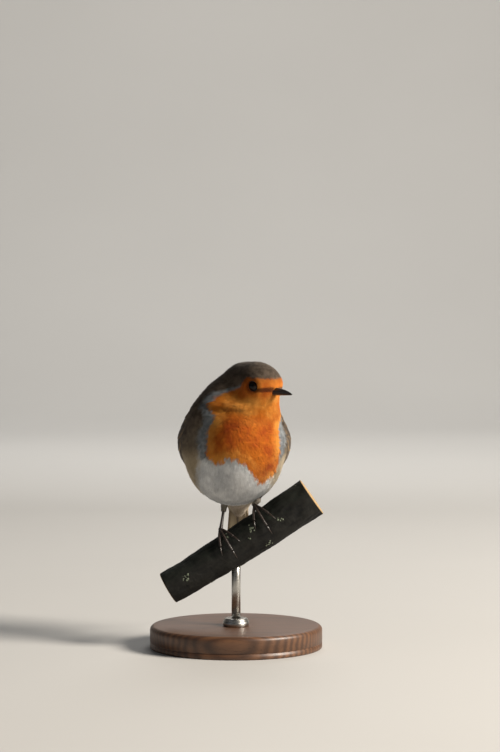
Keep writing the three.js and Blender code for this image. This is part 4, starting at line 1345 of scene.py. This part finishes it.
tints = (
    (mottle, 0.3, 0.7, 1.0, None, "#4C3F31"),
    (across_at, 0.35, 0.95, 1.0, pale_at, "#8A7354"),  # the pale outer edge
    (across_at, -0.7, -1.0, 0.4, None, "#75624A"),  # the inner edge
    (along_at, 0.86, 0.99, 1.0, spot_at, "#B08C58"),  # the spot at the tip
    (outer, 0.1, 0.02, 0.75, None, "#241A13"),  # the shaft
    (barb, 0.2, 1.0, 0.12, None, "#2C2219"),
)
shade = "#382D23"
for follows, low, high, most, times, colour in tints:
    reach = {"Value": follows, "From Min": low, "From Max": high, "To Max": most}
    share = add(tree, "ShaderNodeMapRange", reach, interpolation_type="SMOOTHSTEP")
    if times:
        share = add(tree, "ShaderNodeMath", {0: share, 1: times}, operation="MULTIPLY")
    shade = add(tree, "ShaderNodeMix", {"Factor": share, "A": shade, "B": colour}, data_type="RGBA")
# The underside is paler: partly the real tail's paler grey-brown beneath, and partly painted light that lifts
# an underside facing down into shade.
under = add(tree, "ShaderNodeMath", {0: beneath_at, 1: 0.75}, operation="MULTIPLY")
shade = add(tree, "ShaderNodeMix", {"Factor": under, "A": shade, "B": "#A39578"}, data_type="RGBA")
toned = add(tree, "ShaderNodeCombineColor", {"Red": tone_at, "Green": tone_at, "Blue": tone_at})
links = {"Factor": 1.0, "A": shade, "B": toned}
shade = add(tree, "ShaderNodeMix", links, data_type="RGBA", blend_type="MULTIPLY")
rows = add(tree, "ShaderNodeBump", {"Height": barb, "Strength": 0.2, "Distance": 0.00005})
glossy = {"Roughness": 0.58, "Specular IOR Level": 0.35, "Sheen Weight": 0.1, "Normal": rows}
shader = add(tree, "ShaderNodeBsdfPrincipled", {"Base Color": shade, **glossy})
add(tree, "ShaderNodeOutputMaterial", {"Surface": shader})

# The mass of feather bases under the vanes: dark, soft and dull.
bases_grain = {"Scale": 700.0, "Detail": 3.0}
dull = {"Roughness": 0.9, "Specular IOR Level": 0.2}
bases = plain_finish("feather_bases", "#2A2119", "#453728", bases_grain, dull)


def low_edge(a):
    """The wing's lower edge along the trunk, in degrees."""
    return 24 - 34 * eased(a, -22, 5) + 27 * eased(a, 3, 24) + 17 * eased(a, 26, 43)


def high_edge(a):
    """The wing's upper edge along the trunk, in degrees."""
    return 34 + 13 * eased(a, -22, 2) + 13 * eased(a, 0, 20)


def flipped(faces):
    """The faces turned over."""
    return [f[:, ::-1] for f in faces]


def wing_span(a):
    """The wing's lower and upper edge there, in degrees, round at its front."""
    opened = math.sqrt(1 - (1 - min((a + 22.3) / 13, 1)) ** 2)
    low = 29 + (low_edge(a) - 29) * opened
    return low, 29 + (high_edge(a) - 29) * opened - 15 * eased(a, 8, 26) ** 3


for side_name, side in (("left", 1), ("right", -1)):
    table = envelope_reach(side)
    layers = []
    for a in np.linspace(-20.5, 40, SHEAF_LAYERS):
        share = np.linspace(0, 1, SHEAF_SIDES)
        low, high = wing_span(a)
        d = low + (high - low) * (0.04 + 0.92 * share)
        reach = looked_up(table, np.full(SHEAF_SIDES, a), d)
        bulge = 1 - (2 * share - 1) ** 4
        ends = min(1.0, (a + 20.7) / 3, (40.3 - a) / 6)
        ray = fanned(np.radians(d), [side, 0, 0], dorsal)
        over = SHEAF_FOOT + (SHEAF_TOP - SHEAF_FOOT) * bulge * ends + 0.02
        axis = trunk_middle + tailward * a
        outer = axis + ray * (reach + over)[:, None]
        inner = axis + ray * (reach + SHEAF_FOOT)[:, None]
        layers.append(np.concatenate([outer, inner[::-1]]))
    points, faces = lofted(layers)
    name = f"wing_bases_{side_name}"
    made(name, mesh_of(name, points, flipped(faces) if side > 0 else faces), bases, "wing_plumage")

    sheaf = Sheaf()
    chance = np.random.default_rng(31 if side > 0 else 32)

    def on_wing(start, end, bow, lift_root, lift_tip, by_edge):
        """A feather's place on the wing, from a root to a tip given as along and degrees."""
        (a0, d0), (a1, d1) = start, end
        if by_edge:
            d0, d1 = d0 - low_edge(a0), d1 - low_edge(a1)
        span = (a1 - a0, (d1 - d0) * DEGREE_MM)
        run = unit(np.array(span))

        def place(s, x):
            bend = bow * 4 * s * (1 - s)
            a = a0 + (a1 - a0) * s
            d = d0 + (d1 - d0) * s + bend + (low_edge(a) if by_edge else 0)
            reach = looked_up(table, a, d)
            a = a + run[1] * x
            d = d - np.degrees(run[0] * x / np.maximum(reach, 12))
            reach = looked_up(table, a, d) + lift_root + (lift_tip - lift_root) * s
            ray = fanned(np.radians(d), [side, 0, 0], dorsal)
            return trunk_middle + tailward * a[:, None] + ray * reach[:, None], ray

        return place, math.hypot(*span)

    def lay(start, end, width, lifts, bow=0.0, blunt=0.3, cup=0.1, pale=1.0, spot=0.0, by_edge=False):
        """One feather laid on this wing from its root to its tip, lifted off by mm at each."""
        place, length = on_wing(start, end, bow, *lifts, by_edge)
        points, faces, gone, across, beneath = vane(place, width, blunt, cup)
        faces = flipped(faces) if side < 0 else faces
        shape = (points, faces, gone, across, 0 * beneath)  # a closed wing shows no underside
        sheaf.put(shape, tone=chance.normal(1, 0.06), pale=pale, spot=spot, length=length)

    # Nine primaries: the outermost lies lowest, along the wing's lower edge.
    for i in range(9):
        share = i / 8
        tip = (42.6 - 13.5 * share**1.25, 37.5 + 7.5 * share) if i else (38.5, 31.5)
        a = -7 + 4 * share
        root = (a, low_edge(a) + 6 + 13 * share)
        lifts = (-1.1 + 0.2 * share, -0.8 + 0.6 * share)
        lay(root, tip, 2.6, lifts, bow=1 - 3 * share, blunt=0.2, pale=0.8, by_edge=True)
    # Six secondaries.
    for i in range(6):
        share = i / 5
        tip = (20.5 + 1.8 * share, 23 + 17 * share)
        root = (-8 + 2 * share, 15 + 17 * share)
        lay(root, tip, 3.0, (-0.85 + 0.3 * share, -0.35 + 0.3 * share), bow=-10 + 8 * share, blunt=0.16)
    # Three tertials.
    tertials = (((23.2, 43.5), (-3, 34), 3.8), ((19.0, 49), (-3, 41), 3.8), ((13.0, 54), (-4, 47), 3.6))
    for i, (tip, root, width) in enumerate(tertials):
        lay(root, tip, width, (-0.2 + 0.2 * i, 0.25 + 0.15 * i), bow=1.0, blunt=0.3, pale=0.9)
    # The alula: three short feathers along the wing's front edge.
    for i, (tip, root) in enumerate((((9.5, 5.5), (-7, 5)), ((6.5, 10), (-8.5, 8)), ((3.5, 14), (-10, 10)))):
        tip, root = [(a, low_edge(a) + rise) for a, rise in (tip, root)]
        lay(root, tip, 2.1, (-0.6 + 0.08 * i, -0.1 + 0.05 * i), blunt=0.25, pale=0.6, by_edge=True)
    # Greater coverts, with a faint buff spot at the tip of the outer ones.
    for i in range(9):
        share = i / 8
        tip = (0.5 + 4.0 * share, 3 + 41 * share)
        root = (-10.5 + 3 * share, 15 + 22 * share)
        lifts = (-0.5 + 0.2 * share, 0.1 + 0.12 * share)
        lay(root, tip, 2.9, lifts, bow=-3 + 3 * share, blunt=0.32, spot=0.85 if i < 6 else 0.25)
    # Median and lesser coverts.
    coverts = ((-4.5, 9, 8.0, 2.5), (-8.5, 8, 7.0, 2.3), (-12.0, 6, 6.0, 2.1), (-14.5, 4, 5.0, 1.9))
    for row, (a_tip, count_in_row, size, width) in enumerate(coverts):
        low = low_edge(a_tip) + 11 + 1.5 * row
        high = high_edge(a_tip) - 2 - 2 * row
        for i in range(count_in_row):
            share = (i + 0.5 * (row % 2)) / (count_in_row - 0.5)
            d = low + (high - low) * share
            a = a_tip + 2.6 * share + chance.uniform(-0.5, 0.5)
            lifts = (-0.5 - 0.4 * row, 0.2 - 0.12 * row)
            lay((a - size, d + 4 - 5 * share), (a, d), width, lifts, blunt=0.42, cup=0.14, pale=0.75)
    # Scapulars, that cover the joint of wing and back.
    for row, (a_tip, count_in_row) in enumerate(((9.0, 3), (3.5, 4), (-1.5, 4), (-6.0, 4), (-10.0, 3))):
        for i in range(count_in_row):
            share = i / (count_in_row - 1)
            d = high_edge(a_tip) - 8 + (13 - row) * share
            a = a_tip + chance.uniform(-0.8, 0.8) + 1.5 * share
            root, width, lifts = (a - 10 + 1.2 * row, d - 2), 3.1 - 0.15 * row, (-0.6, 0.35 - 0.03 * row)
            lay(root, (a, d), width, lifts, blunt=0.45, cup=0.16, pale=0.9)

    name = f"wing_vanes_{side_name}"
    made(name, sheaf.mesh(name), vanes, "wing_plumage", f"wing_{side_name}", f"wing_{side_name}_primaries")

# ------------------------------------------------------------------ tail
# Twelve tail feathers closed over one another: the middle pair on top, the outer ones under.
# Each is a stiff vane like those of the wings, and its root lies under the rump's coverts.

TAIL_ROOT, TAIL_END = 24.0, 84.0  # along the trunk's axis
TAIL_HALF = 7.4
sheaf = Sheaf()
chance = np.random.default_rng(40)
for pair in range(5, -1, -1):
    for side in (-1, 1):
        share = pair / 5
        width = 3.9 - 0.5 * share
        end_aside = side * (0.9 + (TAIL_HALF - width - 0.9) * share)
        end = TAIL_END - 2.0 + 1.6 * share - 0.8 * share**3

        def place(s, x):
            aside = TAIL_ASIDE + side * 0.5 * (1 - s) + end_aside * s + x
            along = TAIL_ROOT + (end - TAIL_ROOT) * s
            rel = (aside - TAIL_ASIDE) / TAIL_HALF
            height = TAIL_UP + 0.75 - 1.7 * rel**2 - share * (2.1 - 1.0 * s) - (0.06 if side > 0 else 0.0)
            spot = trunk_middle + np.outer(aside, [1, 0, 0]) + np.outer(along, tailward)
            spot = spot + np.outer(height, dorsal)
            return spot, np.broadcast_to(dorsal, spot.shape)

        points, faces, gone, across, beneath = vane(place, width, 0.12, 0.03)
        shape = (points, faces, gone, across * side, beneath)
        # The tail's tone sits a little above 1: painted light that brightens a tail lying in shade.
        sheaf.put(shape, tone=chance.normal(1.08, 0.05), pale=0.7, spot=0.0, length=end - TAIL_ROOT)
made("tail_vanes", sheaf.mesh("tail_vanes"), vanes, "tail_plumage", "tail")

# ------------------------------------------------------------------ bill
# A thin pointed bill in two mandibles that close along a nearly straight edge: bone under a
# sheath of dark horn, with a ridge along the top and a slit of a nostril on each side.

BILL_ROOT, BILL_TIP = 7.5, 22.8  # forward of the head's middle; the root lies under feathers
BILL_BARE = 9.0  # where the CAD's bill starts
GAPE_UP, GAPE_DROOP, GAPE_HALF = -4.3, 1.1, 0.02  # where the mandibles meet, and their gap
NOSTRIL = 12.2
BILL_RINGS, BILL_ARCH, BILL_FLOOR = 56, 19, 7


def mandible(way, tip, depth_at, width_at):
    """Half of the bill, upper or lower as way is 1 or -1: a ring of arch and floor at each step."""
    rings = []
    for share in 1 - np.linspace(1, 0, BILL_RINGS) ** 1.3:
        gone = BILL_ROOT + (tip - BILL_ROOT) * share
        along = (gone - BILL_BARE) / (BILL_TIP - BILL_BARE)  # the share of the CAD's bill
        edge = GAPE_UP - GAPE_DROOP * max(along, 0) ** 1.5 + way * GAPE_HALF
        depth, width = depth_at(along), width_at(along) / 2
        ring = []
        for turn in np.linspace(0, math.pi, BILL_ARCH):
            c, s = math.cos(turn), math.sin(turn)
            x = width * np.sign(c) * abs(c) ** (1.15 if way > 0 else 0.95)
            arch = depth * (0.82 * s**0.8 + 0.18 * s**5)
            if way > 0:
                x *= 1 - 0.45 * hump(gone, NOSTRIL, 0.9) * hump(s, 0.62, 0.15)
            ring.append((x, edge + way * arch))
        ring += [(x, edge) for x in np.linspace(-1, 1, BILL_FLOOR)[1:-1] * width]
        rings.append([head_middle + forward * gone + leftward * x + up * height for x, height in ring])
    points, faces = lofted(rings)
    return points, flipped(faces) if way < 0 else faces


# Bill horn: blackish brown, with faint paler streaks drawn out towards the tip.
lie = ({"Rotation": (0.0, 0.0, math.radians(40))}, {"Scale": (300, 2600, 2600)})
bill_grain = {"Scale": 1.0, "Detail": 3.0}
bill_horn = plain_finish(
    "bill_horn", "#14110F", "#2E2622", bill_grain, {"Roughness": 0.34}, relief=(0.12, 0.00005), lie=lie
)

upper = mandible(
    1,
    BILL_TIP,
    lambda t: 0.32 + 2.08 * (1 - np.clip(t, 0, 1) ** 3.3) + 0.3 * max(-t, 0),
    lambda t: 0.36 + 5.04 * (1 - np.clip(t, 0, 1) ** 1.1),
)
lower = mandible(
    -1,
    BILL_TIP - 0.45,
    lambda t: 0.2 + 1.6 * (1 - np.clip(t, 0, 1) ** 1.8),
    lambda t: 0.34 + 4.8 * (1 - np.clip(t, 0, 1) ** 1.1),
)
for name, half in (("upper", upper), ("lower", lower)):
    mesh = mesh_of(f"{name}_mandible", *half)
    made(f"{name}_mandible", mesh, bill_horn, "bill_horn", f"bill_{name}")

# ------------------------------------------------------------------ eyes
# Glass-smooth eyeballs under the lids, with a very dark brown iris and a wide black pupil.
# Each is one moist ball that bulges a little at the cornea, seated in the ring of its lid.

# A wet cornea over a dark brown iris: the gloss of water, and almost no colour.
wet, tree = new_finish("wet_eye")
place = add(tree, "ShaderNodeTexCoord").outputs["Object"]
gaze_at = add(tree, "ShaderNodeAttribute", attribute_name="gaze").outputs["Fac"]
fleck = add(tree, "ShaderNodeTexNoise", {"Vector": place, "Scale": 1400.0, "Detail": 3.0})
iris = add(tree, "ShaderNodeMix", {"Factor": fleck, "A": "#0D0704", "B": "#1D0F08"}, data_type="RGBA")
reach = {"Value": gaze_at, "From Min": 0.84, "From Max": 0.87}
pupil = add(tree, "ShaderNodeMapRange", reach, interpolation_type="SMOOTHSTEP")
shade = add(tree, "ShaderNodeMix", {"Factor": pupil, "A": iris, "B": "#020202"}, data_type="RGBA")
wetness = {"Base Color": shade, "Roughness": 0.04, "IOR": 1.34, "Specular IOR Level": 0.4}
add(tree, "ShaderNodeOutputMaterial", {"Surface": add(tree, "ShaderNodeBsdfPrincipled", wetness)})
for side, centre in eye_at.items():
    centre = centre - leftward * EYE_SET_IN * (1 if side == "left" else -1)
    outward = lid_hoops[side][1]
    across = unit(np.cross(outward, up))
    ring = fanned(angles_round(56), across, np.cross(across, outward))
    rings = []
    for turn in np.linspace(0.02, math.pi - 0.02, 40):
        radius = eye_radius * (1 + 0.035 * eased(math.cos(turn), 0.75, 1.0))
        rings.append(centre + radius * (math.cos(turn) * outward + math.sin(turn) * ring))
    points, faces = lofted(rings)
    mesh = mesh_of(f"eyeball_{side}", points, faces)
    mark(mesh, gaze=((points - centre) / eye_radius) @ outward)
    made(f"eyeball_{side}", mesh, wet, "eye_surface", f"eye_{side}")

# ------------------------------------------------------------------ studio
# A pale floor that sweeps up into a backdrop. One broad warm lamp stands on the right, so that
# the bird's right side falls into shade, and weaker ones light its back and the backdrop.

FLOOR_FRONT, FLOOR_BACK, FLOOR_HALF = -3.0, 1.6, 4  # metres, as all of the studio is
SWEEP_RADIUS, BACKDROP_TOP = 1.2, 4.0

# Backdrop paper: pale warm grey and matt, with hardly any cloudiness.
paper_grain = {"Scale": 3.0, "Detail": 2.0}
paper = plain_finish("paper_sweep", "#BDBBB7", "#C4C2BE", paper_grain, {"Roughness": 0.95})
bends = [(math.sin(t), 1 - math.cos(t)) for t in np.linspace(0.1, math.pi / 2, 16)]
sweep = [(FLOOR_FRONT, 0.0), (FLOOR_BACK, 0.0)]
sweep += [(FLOOR_BACK + SWEEP_RADIUS * y, SWEEP_RADIUS * z) for y, z in bends]
sweep += [(FLOOR_BACK + SWEEP_RADIUS, BACKDROP_TOP)]
points = np.array([[x / MM, y / MM, z / MM] for y, z in sweep for x in (-FLOOR_HALF, FLOOR_HALF)])
squares = np.array([[2 * i, 2 * i + 1, 2 * i + 3, 2 * i + 2] for i in range(len(sweep) - 1)])
floor = linked("floor", mesh_of("floor", points, [squares]))
floor.data.materials.append(paper)

subject = Vector((trunk_middle + head_middle) / 2 * MM)


def lamp(name, bearing_degrees, height_degrees, distance, size, power, colour, aim=subject):
    """A square soft lamp at a bearing from the bird, counted from the front, that faces its aim."""
    turn, rise = math.radians(bearing_degrees), math.radians(height_degrees)
    way = Vector((math.sin(turn) * math.cos(rise), -math.cos(turn) * math.cos(rise), math.sin(rise)))
    data = bpy.data.lights.new(name, "AREA")
    data.size, data.energy, data.color = size, power, linear(colour)[:3]
    light = linked(name, data)
    light.location = subject + way * distance
    light.rotation_euler = (light.location - aim).to_track_quat("Z", "Y").to_euler()


lamp("key_lamp", 66, 28, 2.0, 0.66, 86.0, "#FFF7EC")
lamp("fill_lamp", -60, 20, 1.2, 1.0, 0.3, "#E4EDFF")
lamp("back_lamp", 172, 45, 1.1, 0.6, 4.0, "#FFFFFF")
lamp("backdrop_lamp", 180, 40, 1.5, 1.2, 13.0, "#FFFFFF", Vector((0, 2.6, 0.5)))
world = bpy.data.worlds.new("studio")
world.use_nodes = True
background = world.node_tree.nodes["Background"].inputs
background["Color"].default_value = linear("#DDE3EA")
background["Strength"].default_value = 0.09
bpy.context.scene.world = world
bpy.context.scene.view_settings.view_transform = "Standard"

# ------------------------------------------------------------------ camera
# A long lens a little above the bird, level enough to see it as a person by the stand would.

CAMERA_DISTANCE = 1.4
CAMERA_HEIGHT = 3.0  # degrees above the horizontal
FRAME_HEIGHT = 0.39856  # of the view where the bird is
AIM_UP, AIM_ASIDE = 0.1452, 0.00742
SENSOR_HEIGHT = 36  # mm
data = bpy.data.cameras.new("camera")
data.sensor_fit = "VERTICAL"
data.sensor_height = SENSOR_HEIGHT
data.lens = SENSOR_HEIGHT * CAMERA_DISTANCE / FRAME_HEIGHT
data.clip_start, data.clip_end = 0.05, 20
camera = linked("camera", data)
rise = math.radians(CAMERA_HEIGHT)
back = Vector((0, -math.cos(rise), math.sin(rise)))
camera.location = Vector((AIM_ASIDE, perch_y * MM, AIM_UP)) + back * CAMERA_DISTANCE
camera.rotation_euler = back.to_track_quat("Z", "Y").to_euler()
bpy.context.scene.camera = camera
